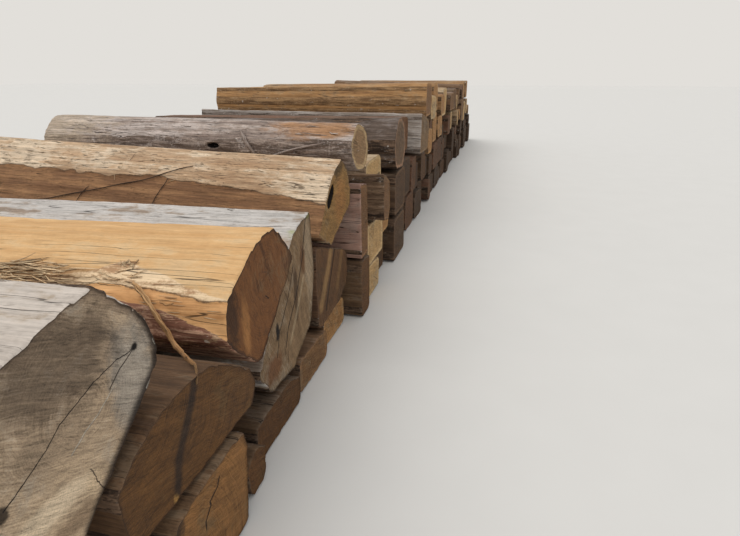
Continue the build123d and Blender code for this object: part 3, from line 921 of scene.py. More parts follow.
def inside_by(outline: np.ndarray, points: np.ndarray) -> np.ndarray:
    """Measures how far inside a convex outline points lie.

    Args:
        outline: Its corners, counter-clockwise.
        points: The points.

    Returns:
        A distance in metres for each, negative outside.
    """
    edge = np.roll(outline, -1, axis=0) - outline
    inward = unit(np.stack([-edge[:, 1], edge[:, 0]], axis=1))
    return ((points[:, None] - outline[None]) * inward[None]).sum(axis=2).min(axis=1)


def solids(node: bpy.types.Object) -> List[Solid]:
    """Reads the logs of one node of the frame.

    Args:
        node: The node's object.

    Returns:
        Its logs, in the order of the row.
    """
    mesh = node.data
    places = np.empty(len(mesh.vertices) * 3)
    mesh.vertices.foreach_get("co", places)
    places = places.reshape(-1, 3)
    mesh.calc_loop_triangles()
    corners = np.empty(len(mesh.loop_triangles) * 3, dtype=np.int64)
    mesh.loop_triangles.foreach_get("vertices", corners)
    corners = corners.reshape(-1, 3)
    _, same = np.unique(np.round(places, 5), axis=0, return_inverse=True)
    joined = same.reshape(-1)[corners]
    label = np.arange(joined.max() + 1)
    while True:
        lowest = label[joined].min(axis=1)
        after = label.copy()
        np.minimum.at(after, joined.ravel(), np.repeat(lowest, 3))
        after = after[after]
        if (after == label).all():
            break
        label = after
    of_triangle = label[joined[:, 0]]
    found = []
    for one in np.unique(of_triangle):
        triangle = corners[of_triangle == one]
        found.append(read_solid(places[np.unique(triangle)], places[triangle]))
    return sorted(found, key=lambda solid: solid.heart[1])


def read_solid(points: np.ndarray, triangles: np.ndarray) -> Solid:
    """Finds one log's axes and end outlines.

    Args:
        points: The log's corners.
        triangles: Its triangles, three corners each.

    Returns:
        The log.
    """
    normal = np.cross(triangles[:, 1] - triangles[:, 0], triangles[:, 2] - triangles[:, 0])
    size = np.linalg.norm(normal, axis=1) + TINY
    centre = triangles.mean(axis=1)
    facing = (normal[:, 0] / size > FRONT_FACING) & (centre[:, 0] > points[:, 0].max() - FRONT_REACH)
    along = -normal[facing].sum(axis=0)
    along /= np.linalg.norm(along)
    across = np.cross(along, (0, 0, 1))
    across /= np.linalg.norm(across)
    up = np.cross(across, along)
    depth = points @ along
    start, stop = depth.min(), depth.max()
    flat = np.stack([points @ across, points @ up], axis=1)
    butt = hull(flat[depth < start + END_SKIN])
    tail = hull(flat[depth > stop - END_SKIN])
    middle = (butt.min(axis=0) + butt.max(axis=0)) / 2
    heart = along * start + across * middle[0] + up * middle[1]
    deep = np.column_stack([depth - start, flat - middle])
    inside = np.minimum(inside_by(butt - middle, deep[:, 1:]), inside_by(tail - middle, deep[:, 1:]))
    between = (depth > start + END_SKIN) & (depth < stop - POCKET_BEFORE_TAIL)
    pocket = deep[between & (inside > POCKET_INSIDE)]
    return Solid(heart, along, across, up, stop - start, butt - middle, tail - middle, pocket)


def walk(outline: np.ndarray, count: int) -> Tuple[np.ndarray, np.ndarray]:
    """Points at equal steps around an outline.

    Args:
        outline: The outline's corners, counter-clockwise.
        count: How many points.

    Returns:
        The points, and how far round each lies, in metres.
    """
    closed = np.vstack([outline, outline[:1]])
    steps = np.linalg.norm(np.diff(closed, axis=0), axis=1)
    reach = np.concatenate([[0], np.cumsum(steps)])
    at = np.linspace(0, reach[-1], count, endpoint=False)
    points = np.stack([np.interp(at, reach, closed[:, side]) for side in (0, 1)], axis=1)
    return points, at


def ray_hits(outline: np.ndarray, centre: np.ndarray, ways: np.ndarray) -> np.ndarray:
    """Finds where rays from a centre leave a convex outline.

    Args:
        outline: Its corners, counter-clockwise.
        centre: Where the rays start.
        ways: Their directions.

    Returns:
        One point for each ray.
    """
    closed = np.vstack([outline, outline[:1]])
    start, step = closed[:-1] - centre, np.diff(closed, axis=0)
    square = np.stack([step[:, 1], -step[:, 0]], axis=1)
    away = (start * square).sum(axis=1)
    speed = ways @ square.T
    with np.errstate(divide="ignore", invalid="ignore"):
        reach = np.where(speed > 1e-9, away / speed, np.inf)
    reach = np.where(reach > 0, reach, np.inf).min(axis=1)
    return centre + ways * reach[:, None]


# Logs as meshes

TAU = 2 * math.pi


@dataclass(frozen=True)
class Look:
    """How one log is worn, and how finely it is built.

    Attributes:
        wood: Which finish it has.
        around: Points around its outline.
        rings: Steps along it.
        cap: Steps from the butt's rim to its heart.
        bark: How much bark is left on its rounded corners, 0 to 1.
        wave: How uneven its hewn faces are, in metres.
        groove: How deep its fibres stand open, in metres.
        tone: Lighter above 1, darker below.
        fine_at: Places along it that are built finely, in metres.
        edge: The line, along and across, below which its second colours begin.
        step: How far the face below that line lies inside, in metres.
        lip: The line, along and across, from which a torn strip runs down to the edge.
        bark_line: The line, along and up, below which its bark begins.
    """

    wood: Wood
    around: int = 56
    rings: int = 14
    cap: int = 7
    bark: float = 0.5
    wave: float = 0.008
    groove: float = 0.0015
    tone: float = 1.0
    fine_at: Tuple[float, ...] = ()
    edge: Course = ()
    step: float = 0.0
    lip: Course = ()
    bark_line: Course = ()


@dataclass
class Skin:
    """A mesh being gathered from grids of points."""

    places: List[np.ndarray] = field(default_factory=list)
    faces: List[np.ndarray] = field(default_factory=list)
    slots: List[np.ndarray] = field(default_factory=list)
    layers: Dict[str, List[np.ndarray]] = field(default_factory=dict)
    count: int = 0

    def add(self, points: np.ndarray, faces: np.ndarray, slot: int, **layers: np.ndarray) -> None:
        """Adds a patch of four-cornered faces.

        Args:
            points: Its points.
            faces: Four point numbers a face; a repeated last one makes a triangle.
            slot: Which material it has.
            **layers: Numbers for each point.
        """
        self.places.append(points)
        self.faces.append(faces + self.count)
        self.slots.append(np.full(len(faces), slot))
        for name, values in layers.items():
            full = np.broadcast_to(values, (len(points), *np.shape(values)[1:]))
            self.layers.setdefault(name, []).append(full)
        self.count += len(points)

    def piece(self, name: str, materials: Sequence[bpy.types.Material]) -> bpy.types.Object:
        """Makes the object.

        Args:
            name: Its name.
            materials: Its materials, in the order of the slots.

        Returns:
            The object.
        """
        places = np.concatenate(self.places)
        faces = np.concatenate(self.faces)
        mesh = bpy.data.meshes.new(name)
        three = faces[:, 3] == faces[:, 2]
        totals = np.where(three, 3, 4)
        keep = np.ones(faces.shape, dtype=bool)
        keep[three, 3] = False
        corners = faces[keep]
        starts = np.concatenate([[0], np.cumsum(totals)[:-1]])
        mesh.vertices.add(len(places))
        mesh.vertices.foreach_set("co", places.astype(np.float32).ravel())
        mesh.loops.add(len(corners))
        mesh.loops.foreach_set("vertex_index", corners.astype(np.int32))
        mesh.polygons.add(len(faces))
        mesh.polygons.foreach_set("loop_start", starts.astype(np.int32))
        mesh.polygons.foreach_set("loop_total", totals.astype(np.int32))
        mesh.polygons.foreach_set("material_index", np.concatenate(self.slots).astype(np.int32))
        mesh.polygons.foreach_set("use_smooth", np.ones(len(faces), dtype=bool))
        for layer, values in self.layers.items():
            numbers = np.concatenate(values).astype(np.float32)
            kind, key = ("FLOAT_VECTOR", "vector") if numbers.ndim == 2 else ("FLOAT", "value")
            mesh.attributes.new(layer, kind, "POINT").data.foreach_set(key, numbers.ravel())
        for material in materials:
            mesh.materials.append(material)
        mesh.update()
        mesh.validate()
        made = bpy.data.objects.new(name, mesh)
        bpy.context.scene.collection.objects.link(made)
        return made


def grid_faces(rows: int, columns: int, flip: bool = False) -> np.ndarray:
    """Faces between neighbouring rings of points, closed around.

    Args:
        rows: How many rings.
        columns: How many points a ring.
        flip: Turns the faces over.

    Returns:
        Four point numbers for each face.
    """
    row, column = np.meshgrid(np.arange(rows - 1), np.arange(columns), indexing="ij")
    here = row * columns + column
    beside = row * columns + (column + 1) % columns
    ring = [here, beside, beside + columns, here + columns]
    if flip:
        ring = [here, here + columns, beside + columns, beside]
    return np.stack([part.ravel() for part in ring], axis=1)


Rim = Tuple[np.ndarray, np.ndarray]


@dataclass
class WornLog:
    """One log: hewn faces worn inwards from the frame's solid, and both ends.

    Attributes:
        solid: The log in the frame.
        look: How it is worn.
        number: Its place in the count of logs, which starts its noise.
        butt_rings: Places near the butt that always have a ring, in metres.
        tail_rings: The same near the tail, before its end.
        fine_step: How far apart the rings of a finely built place lie.
        fine_steps: How many rings such a place has to each side.
        eased: How far the first rings are drawn in, to break the rim's corner.
        wane_reach: How far to each side the outline's turn is measured.
        slot_reach: Pockets deeper than this go in from the side, not from the butt.
        knot_depth: How deep the knot hole in a side is.
        hewn_height: How high the axe's ridges stand.
        peeled_depth: How much lower a rounded corner lies where its bark has gone.
        bark_depth: How deep bark lies at least, and how high its ridges stand.
        end_depth: How uneven an end is.
        ragged: How far a drawn line along the log strays.
        deepest: How far wear goes at most.
        tail_grain: Where the tail's pattern lies along the wood.
    """

    solid: Solid
    look: Look
    number: int
    butt_rings: Tuple[float, ...] = (0.0, 0.003, 0.011, 0.03)
    tail_rings: Tuple[float, ...] = (0.02, 0.004, 0.0)
    fine_step: float = 0.006
    fine_steps: int = 12
    eased: Tuple[float, ...] = (0.0035, 0.001, 0.0)
    wane_reach: float = 0.045
    slot_reach: float = 0.2
    knot_depth: float = 0.05
    hewn_height: float = 0.0035
    peeled_depth: float = 0.006
    bark_depth: Tuple[float, float] = (0.002, 0.0045)
    end_depth: float = 0.0022
    ragged: float = 0.012
    deepest: float = 0.03
    tail_grain: float = 3.1

    def __post_init__(self) -> None:
        """Works out its seed, its own part of the patterns and its rings' middle."""
        self.seed = 100 + self.number * 7
        self.offset = self.number * 13.7
        half = (self.solid.butt.max(axis=0) - self.solid.butt.min(axis=0)) / 2
        wander = np.random.default_rng(self.seed).uniform(-0.5, 0.5, 2) * half
        self.pith = np.array(ENDS[self.look.wood].pith or wander)

    def into(self, skin: Skin, slot: int) -> None:
        """Adds the log to a mesh.

        Args:
            skin: The mesh.
            slot: The material of its long faces; its ends have the next.
        """
        first, last = self.sides(skin, slot)
        self.end(skin, slot + 1, first, self.look.cap, False)
        self.end(skin, slot + 1, last, max(3, self.look.cap // 4), True)

    def noise(
        self, along: np.ndarray, flat: np.ndarray, fine: Tuple[float, float], layer: int, octaves: int,
        apart: bool = True,
    ) -> np.ndarray:
        """Noise over the log.

        Args:
            along: How far along each point lies.
            flat: Across and up of each point.
            fine: Noise cells per metre along it, and across and up.
            layer: Which of its patterns.
            octaves: How many finer layers are added.
            apart: Whether the log has its own part of the pattern.

        Returns:
            A value of about -1 to 1 for each point.
        """
        place = np.column_stack([along * fine[0] + self.offset * apart, flat * fine[1]])
        return noise(place, self.seed + layer, octaves)

    def stops(self) -> np.ndarray:
        """Chooses where rings lie along the log.

        Returns:
            How far along each lies, in metres.
        """
        length, look = self.solid.length, self.look
        even = np.linspace(0, length, look.rings + 1)[1:-1]
        steps = np.arange(-self.fine_steps, self.fine_steps + 1) * self.fine_step
        fine = [at + step for at in look.fine_at for step in steps]
        return np.unique(np.concatenate([self.butt_rings, length - np.array(self.tail_rings), even, fine]))

    def sides(self, skin: Skin, slot: int) -> Tuple[Rim, Rim]:
        """Adds the long faces.

        Args:
            skin: The mesh.
            slot: Their material.

        Returns:
            The butt's rim and the tail's, as places in the heap and on the log.
        """
        solid, look = self.solid, self.look
        count = look.around
        butt, round_at = walk(solid.butt, count)
        tail = ray_hits(solid.tail, (solid.tail.min(axis=0) + solid.tail.max(axis=0)) / 2, unit(butt))
        edge = np.roll(butt, -1, axis=0) - np.roll(butt, 1, axis=0)
        out = unit(np.stack([edge[:, 1], -edge[:, 0]], axis=1))
        stops = self.stops()
        rounded = np.tile(self.roundness(out, round_at[1]), len(stops))
        share = (stops / solid.length)[:, None, None]
        flat = (butt[None] * (1 - share) + tail[None] * share).reshape(-1, 2)
        along = np.repeat(stops, count)
        out = np.tile(out, (len(stops), 1))
        bark = self.bark(along, flat, rounded, out)
        hole = self.knot_hole(along, flat)
        zone, lip = self.below(look.edge, along, flat), self.below(look.lip, along, flat)
        depth = self.wear(along, flat, rounded, bark) + hole + look.step * smooth(zone, -0.001, 0.004)
        inward = flat - out * depth[:, None]
        drawn = np.interp(along, self.butt_rings[: len(self.eased)], self.eased)
        drawn *= 1 + self.noise(along, flat, (1.0, 30.0), 5, 1, False)
        inward -= out * drawn[:, None]
        points = self.place(along, inward)
        grain = np.column_stack([along, inward])
        faces = grid_faces(len(stops), count, True)
        zone = zone if look.edge else hole
        layers = {"grain": grain, "bark": bark, "zone": zone, "lip": lip, "rim": np.ones(1)}
        skin.add(points, faces, slot, **layers, **self.shared())
        return (points[:count], inward[:count]), (points[-count:], inward[-count:])

    def below(self, line: Course, along: np.ndarray, flat: np.ndarray) -> np.ndarray:
        """Measures how far points lie below a ragged line along the log.

        Args:
            line: The line, along and across.
            along: How far along each point lies.
            flat: Across and up of each point.

        Returns:
            Metres for each point; -1 where there is no line.
        """
        if not line:
            return np.full(len(along), -1.0)
        stray = self.noise(along, flat, (16.0, 20.0), 13, 3, False)
        return np.interp(along, *zip(*line)) - flat[:, 0] + self.ragged * stray

    def roundness(self, out: np.ndarray, step: float) -> np.ndarray:
        """Measures how much the outline turns near each of its points.

        Args:
            out: Which way the outline faces at each point.
            step: How far apart the points lie.

        Returns:
            0 on a flat or at a sharp corner to 1 on a rounded wane.
        """
        turn = np.unwrap(np.arctan2(out[:, 1], out[:, 0]))
        reach = max(1, int(round(self.wane_reach / step)))
        size = len(turn)
        wound = np.concatenate([turn - TAU, turn, turn + TAU])
        here = np.arange(size, 2 * size)
        swing = (wound[here + reach] - wound[here - reach]) / (2 * reach * step)
        return smooth(swing, 0.8, 3.0) * (1 - smooth(swing, 13.0, 20.0))

    def bark(self, along: np.ndarray, flat: np.ndarray, rounded: np.ndarray, out: np.ndarray) -> np.ndarray:
        """Finds where bark is left; it has gone from most faces that look up.

        Args:
            along: How far along each point lies.
            flat: Across and up of each point.
            rounded: How rounded the outline is there.
            out: Which way the outline faces there.

        Returns:
            0 bare to 1 covered, for each point.
        """
        look = self.look
        if look.bark_line:
            return smooth(np.interp(along, *zip(*look.bark_line)) - flat[:, 1], -0.012, 0.012)
        patches = self.noise(along, flat, (1.4, 4.5), 1, 4) * 1.6 + (look.bark - 0.5) * 2.2
        patches = patches - 1.6 * smooth(out[:, 1], 0.25, 0.75)
        return smooth(rounded * 1.2 - 0.6 + patches * 0.5, 0.0, 0.25) * (rounded > 0.05)

    def wear(self, along: np.ndarray, flat: np.ndarray, rounded: np.ndarray, bark: np.ndarray) -> np.ndarray:
        """Works out how far the log's surface lies inside the frame's.

        Args:
            along: How far along each point lies.
            flat: Across and up of each point.
            rounded: How rounded the outline is there.
            bark: How much bark there is.

        Returns:
            Metres for each point.
        """
        look = self.look
        wave = self.noise(along, flat, (1.3, 3.5), 2, 2)
        hewn = 1 - np.abs(self.noise(along, flat, (6.5, 5.0), 3, 1))
        open_fibre = self.noise(along, flat, (1.1, 52.0), 4, 2)
        ridges = self.noise(along, flat, (9.0, 38.0), 6, 2)
        depth = look.wave * (0.5 + 0.75 * wave) + self.hewn_height * hewn**4
        depth = depth + look.groove * (1 + open_fibre * 1.4)
        peeled = self.peeled_depth * smooth(rounded, 0.2, 0.7)
        cover = self.bark_depth[0] + self.bark_depth[1] * (1 + ridges * 1.3)
        return np.clip((depth + peeled) * (1 - bark) + cover * bark, 0.0, self.deepest)

    def place(self, along: np.ndarray, flat: np.ndarray) -> np.ndarray:
        """Turns places on the log into places in the heap."""
        s = self.solid
        return s.heart + along[:, None] * s.along + flat[:, :1] * s.across + flat[:, 1:] * s.up

    def end(self, skin: Skin, slot: int, rim: Rim, rows: int, tail: bool) -> None:
        """Adds one end, ring by ring from its rim to its heart.

        Args:
            skin: The mesh.
            slot: Its material.
            rim: The last ring of the long faces.
            rows: How many rings.
            tail: Whether it is the tail's end.
        """
        points, flat = rim
        count = len(points)
        shares = 1 - np.linspace(0, 1, rows + 1)[:-1]
        middle, flat_middle = points.mean(axis=0), flat.mean(axis=0)
        places = (middle + (points - middle)[None] * shares[:, None, None]).reshape(-1, 3)
        across = (flat_middle + (flat - flat_middle)[None] * shares[:, None, None]).reshape(-1, 2)
        places = np.vstack([places, middle])
        across = np.vstack([across, flat_middle])
        reach = np.append(np.repeat(shares, count), 0.0)
        sunk = self.sunk(across, tail) * smooth(1 - reach, 0, 0.04)
        places += (self.solid.along * (-1 if tail else 1)) * sunk[:, None]
        last = (rows - 1) * count + np.arange(count)
        after = (rows - 1) * count + (np.arange(count) + 1) % count
        tip = np.full(count, rows * count)
        fan = np.stack([after, last, tip, tip] if tail else [last, after, tip, tip], axis=1)
        faces = np.vstack([grid_faces(rows, count, tail), fan])
        grain = np.column_stack([np.full(len(across), self.tail_grain if tail else 0.0), across - self.pith])
        layers = {"grain": grain, "bark": np.zeros(1), "zone": sunk, "lip": np.zeros(1), "rim": reach}
        skin.add(places, faces, slot, **layers, **self.shared())

    def shared(self) -> Dict[str, np.ndarray]:
        """Numbers that are the same all over the log."""
        return {"tone": np.full(1, self.look.tone), "apart": np.full(1, self.offset)}

    def sunk(self, across: np.ndarray, tail: bool) -> np.ndarray:
        """Works out how far an end's face lies inside the frame's.

        Args:
            across: Across and up of each point.
            tail: Whether it is the tail's end.

        Returns:
            Metres for each point.
        """
        depth = self.end_depth * (1 + self.noise(np.zeros(len(across)), across, (1.0, 5.0), 9, 3))
        pocket = self.solid.pocket
        if len(pocket) and not tail and pocket[:, 0].max() < self.slot_reach:
            depth += pocket[:, 0].max() * smooth(inside_by(hull(pocket[:, 1:]), across), -0.002, 0.004)
        return depth

    def knot_hole(self, along: np.ndarray, flat: np.ndarray) -> np.ndarray:
        """Works out how far the rotted knot in the side sinks the surface.

        Args:
            along: How far along each point lies.
            flat: Across and up of each point.

        Returns:
            Metres for each point.
        """
        pocket = self.solid.pocket
        if not len(pocket) or pocket[:, 0].max() < self.slot_reach:
            return np.zeros(len(along))
        middle = (pocket.min(axis=0) + pocket.max(axis=0)) / 2
        half = (pocket.max(axis=0) - pocket.min(axis=0)) / 2
        ragged = 0.25 * self.noise(along, flat, (40.0, 40.0), 11, 2, False)
        far = np.hypot((along - middle[0]) / half[0], (flat[:, 1] - middle[2]) / half[2]) + ragged
        return self.knot_depth * smooth(far, 1.15, 0.5) * (flat[:, 0] < 0)


LOOKS: Dict[str, Look] = {
    "great_grey_log": Look(Wood.GREAT_GREY, 330, 52, 44, 0.55, 0.01, 0.002),
    "peeled_tan_log": Look(
        Wood.PEELED, 340, 120, 36, 0.3, 0.007, 0.0012, 1.05,
        edge=((0.0, -0.276), (0.089, -0.281), (0.215, -0.258), (0.32, -0.245), (0.45, -0.24), (0.6, -0.25),
              (0.9, -0.29), (2.6, -0.31)),
        step=0.009,
        lip=((0.0, -0.27), (0.146, -0.24), (0.264, -0.203), (0.39, -0.163), (0.48, -0.138), (0.6, -0.2),
             (0.8, -0.25), (1.0, -0.3), (2.6, -0.33)),
        bark_line=((0.0, -0.045), (0.08, 0.0), (0.14, 0.013), (0.194, 0.036), (0.3, 0.07), (0.5, 0.08),
                   (0.9, -0.02), (2.6, -0.06)),
    ),
    "grey_weathered_log": Look(Wood.WEATHERED, 240, 52, 26, 0.5, 0.008, 0.0025),
    "slotted_log": Look(
        Wood.ROUGH_CREAM, 280, 52, 44, 0.15, 0.008, 0.003, 1.08,
        edge=((0.0, -0.19), (0.256, -0.166), (0.487, -0.16), (0.729, -0.15), (1.045, -0.135), (1.25, -0.146),
              (1.634, -0.142), (2.059, -0.137), (2.6, -0.13)),
        step=0.005,
    ),
    "dark_square_log": Look(Wood.SPLIT_BROWN, 160, 30, 22, tone=0.87),
    "round_grey_log": Look(Wood.ROUND_GREY, 240, 56, 26, 0.3, 0.006, 0.004, fine_at=(0.93,)),
    "charcoal_log": Look(Wood.CHARCOAL, 200, 44, 24, groove=0.0025),
    "flat_grey_log": Look(Wood.FLAT_GREY, 160, 40, 16, 0.35, groove=0.0025, tone=1.05),
    "amber_log": Look(Wood.AMBER, 190, 44, 20, 0.3, groove=0.002),
    "wedge_log": Look(Wood.STREAKED, 220, 30, 36),
    "cracked_ground_log": Look(Wood.CRACKED, 190, 26, 30),
    "low_ground_log": Look(Wood.SHADED, 140, 24, 18, tone=0.85),
    "small_ground_log": Look(Wood.SHADED, 120, 24, 16),
    "pink_upright_log": Look(Wood.PINK, 180, 36, 24, 0.3, 0.006, 0.0012),
    "splintered_log": Look(Wood.SPLINTERED, 200, 40, 24, 0.5, 0.01, 0.004),
    "deep_ground_log": Look(Wood.SHADED, 110, 20, 14),
    "cream_second_log": Look(Wood.CREAM, 120, 24, 16),
    "start_chock_log": Look(Wood.UMBER, 90, 18, 10),
    "dark_ground_log": Look(Wood.UMBER, 100, 18, 14),
    "brown_ground_log": Look(Wood.BROWN, 100, 18, 14),
    "flat_ground_log": Look(Wood.TAN, 90, 18, 12),
    "cream_ground_log": Look(Wood.CREAM, 100, 18, 14),
    "tarred_ground_log": Look(Wood.UMBER, 90, 18, 12),
    "sooty_ground_log": Look(Wood.UMBER, 90, 18, 12),
    "short_second_log": Look(Wood.TAN, 100, 20, 14),
    "umber_second_log": Look(Wood.UMBER, 100, 20, 14),
    "dusty_third_log": Look(Wood.CREAM, 100, 24, 14),
    "rust_third_log": Look(Wood.RED_BROWN, 100, 24, 14),
}


@dataclass
class Heap:
    """All the logs of the row.

    Attributes:
        nodes: The frame's objects by name.
        slots: The record's material slot of each.
        pale: Woods of the far logs that lie high.
        dark: Woods of those that lie low, in the shade.
        shaded_below: The height that parts the two, in metres.
        tones: How much darker to lighter than its wood a far log is.
        shaded_tone: What the shade makes of a low one.
        lit_tone: What the light makes of a high one.
        barks: The least and most bark on a far log.
        materials: Finishes made so far.
        worn: The first log and the piece of each node.
        number: How many logs are built.
    """

    nodes: Dict[str, bpy.types.Object]
    slots: Dict[str, str]
    pale: Tuple[Wood, ...] = (Wood.CREAM, Wood.TAN, Wood.BROWN, Wood.TAN, Wood.CREAM, Wood.RED_BROWN)
    dark: Tuple[Wood, ...] = (Wood.UMBER, Wood.UMBER, Wood.SHADED, Wood.UMBER, Wood.RED_BROWN)
    shaded_below: float = 0.72
    tones: Tuple[float, float] = (0.84, 1.16)
    shaded_tone: float = 0.72
    lit_tone: float = 0.95
    barks: Tuple[float, float] = (0.1, 0.45)
    materials: Dict[Tuple[Wood, str], bpy.types.Material] = field(default_factory=dict)
    worn: Dict[str, Tuple[Solid, bpy.types.Object]] = field(default_factory=dict)
    number: int = 0

    def __post_init__(self) -> None:
        """Readies the shuffle of the far logs' looks."""
        self.shuffle = np.random.default_rng(41)

    def build(self) -> None:
        """Builds a worn piece for every node of the frame."""
        for wood, side in SIDES.items():
            self.materials[wood, "side"] = side.material(f"{wood.value} side")
        for wood, end in ENDS.items():
            self.materials[wood, "end"] = end.material(f"{wood.value} end")
        for name in sorted(self.nodes):
            self.add(name)

    def add(self, name: str) -> None:
        """Builds one node's logs as one piece.

        Args:
            name: The node.
        """
        skin = Skin()
        materials: List[bpy.types.Material] = []
        logs = solids(self.nodes[name])
        for solid in logs:
            look = LOOKS.get(name) or self.far_look(solid)
            WornLog(solid, look, self.number).into(skin, len(materials))
            materials += [self.materials[look.wood, "side"], self.materials[look.wood, "end"]]
            self.number += 1
        piece = skin.piece(f"{name}_worn", materials)
        self.worn[name] = (logs[0], piece)
        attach(piece, "root")
        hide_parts(name)
        log.info("%s: %d faces", piece.name, len(piece.data.polygons))

    def far_look(self, solid: Solid) -> Look:
        """Picks a look for a log further down the row.

        Args:
            solid: The log.

        Returns:
            Its look.
        """
        low = solid.heart[2] < self.shaded_below
        woods = self.dark if low else self.pale
        wood = woods[int(self.shuffle.integers(len(woods)))]
        tone = float(self.shuffle.uniform(*self.tones)) * (self.shaded_tone if low else self.lit_tone)
        return Look(wood, tone=tone, bark=float(self.shuffle.uniform(*self.barks)))


# Loose bark, splinters and twigs


def finer(route: np.ndarray, steps: int) -> np.ndarray:
    """Splits each stretch of a route into equal steps."""
    shares = np.linspace(0, len(route) - 1, steps * (len(route) - 1) + 1)
    return np.stack([np.interp(shares, np.arange(len(route)), route[:, side]) for side in range(3)], axis=1)


def ease(path: np.ndarray) -> None:
    """Rounds a path's corners a little, in place."""
    path[1:-1] = (path[:-2] + path[1:-1] * 2 + path[2:]) / 4


@dataclass(frozen=True)
class Shred:
    """A strip of bark, a splinter or a twig, drawn along points in the heap, in metres."""

    path: np.ndarray
    facing: np.ndarray
    width: float
    thick: float
    sides: int = 4
    tip: float = 0.25


@dataclass
class Litter:
    """Loose bark and splinters that lie on one log, as one piece.

    Attributes:
        name: The piece's name.
        heap: The heap it lies on.
        node: The log it lies on.
        wood: Which side finish it has.
        slot: The record's material slot; not used.
        seed: Starts its random shapes.
        shreds: What it has so far.
    """

    name: str
    heap: Heap
    node: str
    wood: Wood
    slot: str
    seed: int
    shreds: List[Shred] = field(default_factory=list)

    def __post_init__(self) -> None:
        """Readies the random numbers and the surface that the litter lies on."""
        self.chance = np.random.default_rng(self.seed)
        self.solid, piece = self.heap.worn[self.node]
        self.tree = BVHTree.FromObject(piece, bpy.context.evaluated_depsgraph_get())

    def touch(self, places: np.ndarray, lift: float) -> Tuple[np.ndarray, np.ndarray]:
        """Finds the nearest places on the log's worn surface.

        Args:
            places: Places on the log, along, across and up.
            lift: How far over the surface.

        Returns:
            The places in the heap, and which way the surface faces there.
        """
        found = [self.tree.find_nearest(Vector(self.solid.at(*place)))[:2] for place in places]
        facing = np.array([way for _, way in found])
        return np.array([place for place, _ in found]) + facing * lift, facing

    def scatter(
        self, count: int, low: Point, high: Point, length: Tuple[float, float], lean: float, width: float
    ) -> None:
        """Strews splinters over a part of the log.

        Args:
            count: How many.
            low: The part's lowest place along, across and up.
            high: Its highest.
            length: Shortest and longest, in metres.
            lean: How far they turn from the log's run, in degrees.
            width: The widest, in metres.
        """
        shares = np.linspace(0, 1, 5)
        for _ in range(count):
            start = self.chance.uniform(low, high)
            reach = self.chance.uniform(*length)
            turn = math.radians(float(self.chance.normal(0, lean)))
            way = np.array([math.cos(turn), math.sin(turn), 0.0]) * reach * self.chance.choice([-1, 1])
            rise = self.chance.uniform(0.0, 0.14) * reach
            bow = self.chance.uniform(0.0, 0.05) * reach
            path, facing = self.touch(start + way * shares[:, None], 0.001)
            path += facing * (rise * shares**2 + bow * np.sin(shares * math.pi))[:, None]
            broad = self.chance.uniform(0.35, 1.0) * width
            self.shreds.append(Shred(path, facing, broad, broad * 0.3))

    def lay(
        self, places: Sequence[Point], width: float, thick: float, sides: int = 4, lift: float = 0.0015
    ) -> None:
        """Lays one strip or twig over the log's surface.

        Args:
            places: Where it runs, along, across and up on the log.
            width: How broad it is, in metres.
            thick: How thick it is.
            sides: How many sides its section has.
            lift: How far over the surface it lies.
        """
        path, facing = self.touch(finer(np.array(places), 6), lift + thick)
        ease(path)
        self.shreds.append(Shred(path, facing, width, thick, sides, 0.5))

    def hang(self, places: Sequence[Point], width: float, thick: float = 0.004) -> None:
        """Hangs one torn strip from the log.

        Args:
            places: Where it runs beside the log, along, across and up.
            width: How broad it is, in metres.
            thick: How thick it is.
        """
        path = finer(np.array([self.solid.at(*place) for place in places]), 5)
        for _ in range(4):
            ease(path)
        path[1:-1] += self.chance.normal(0, 0.0008, path[1:-1].shape)
        facing = np.tile(-self.solid.across + self.solid.up * 0.4, (len(path), 1))
        self.shreds.append(Shred(path, facing, width, thick, 4, 0.35))

    def build(self) -> None:
        """Makes the piece."""
        skin = Skin()
        for shred in self.shreds:
            self.sweep(skin, shred)
        made = skin.piece(self.name, [self.heap.materials[self.wood, "side"]])
        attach(made, "root")
        log.info("%s: %d loose pieces", self.name, len(self.shreds))

    def sweep(self, skin: Skin, shred: Shred) -> None:
        """Draws a small section along a shred's path.

        Args:
            skin: The mesh.
            shred: The shred.
        """
        path, sides = shred.path, shred.sides
        count = len(path)
        ahead = unit(np.gradient(path, axis=0))
        side = unit(np.cross(ahead, shred.facing))
        above = np.cross(side, ahead)
        bulge = np.sin(np.clip(np.linspace(0, 1, count) * 0.85 + 0.12, 0, 1) * math.pi) ** 0.6
        swell = (shred.tip + (1 - shred.tip) * bulge) * self.chance.uniform(0.8, 1.15, count)
        angles = (np.arange(sides) + 0.5) * TAU / sides
        wide, tall = np.cos(angles) * shred.width, np.sin(angles) * shred.thick
        section = side[:, None] * (wide / 2)[None, :, None] + above[:, None] * (tall / 2)[None, :, None]
        ring = path[:, None] + swell[:, None, None] * section
        reach = np.concatenate([[0], np.cumsum(np.linalg.norm(np.diff(path, axis=0), axis=1))])
        grain = np.column_stack([np.repeat(reach, sides), np.tile(wide, count), np.tile(tall, count)])
        points = np.vstack([ring.reshape(-1, 3), path[:1], path[-1:]])
        grain = np.vstack([grain, grain[:1], grain[-1:]])
        around = np.arange(sides)
        after = (around + 1) % sides
        last = (count - 1) * sides
        first_tip, last_tip = np.full(sides, count * sides), np.full(sides, count * sides + 1)
        start = np.stack([after, around, first_tip, first_tip], axis=1)
        stop = np.stack([last + around, last + after, last_tip, last_tip], axis=1)
        faces = np.vstack([grid_faces(count, sides), start, stop])
        one = np.ones(1)
        layers = {"grain": grain, "bark": one * 0, "zone": -one, "lip": -one, "rim": one}
        tone = one * self.chance.uniform(0.6, 1.25)
        apart = one * self.chance.uniform(0, 90)
        skin.add(points, faces, 0, **layers, tone=tone, apart=apart)


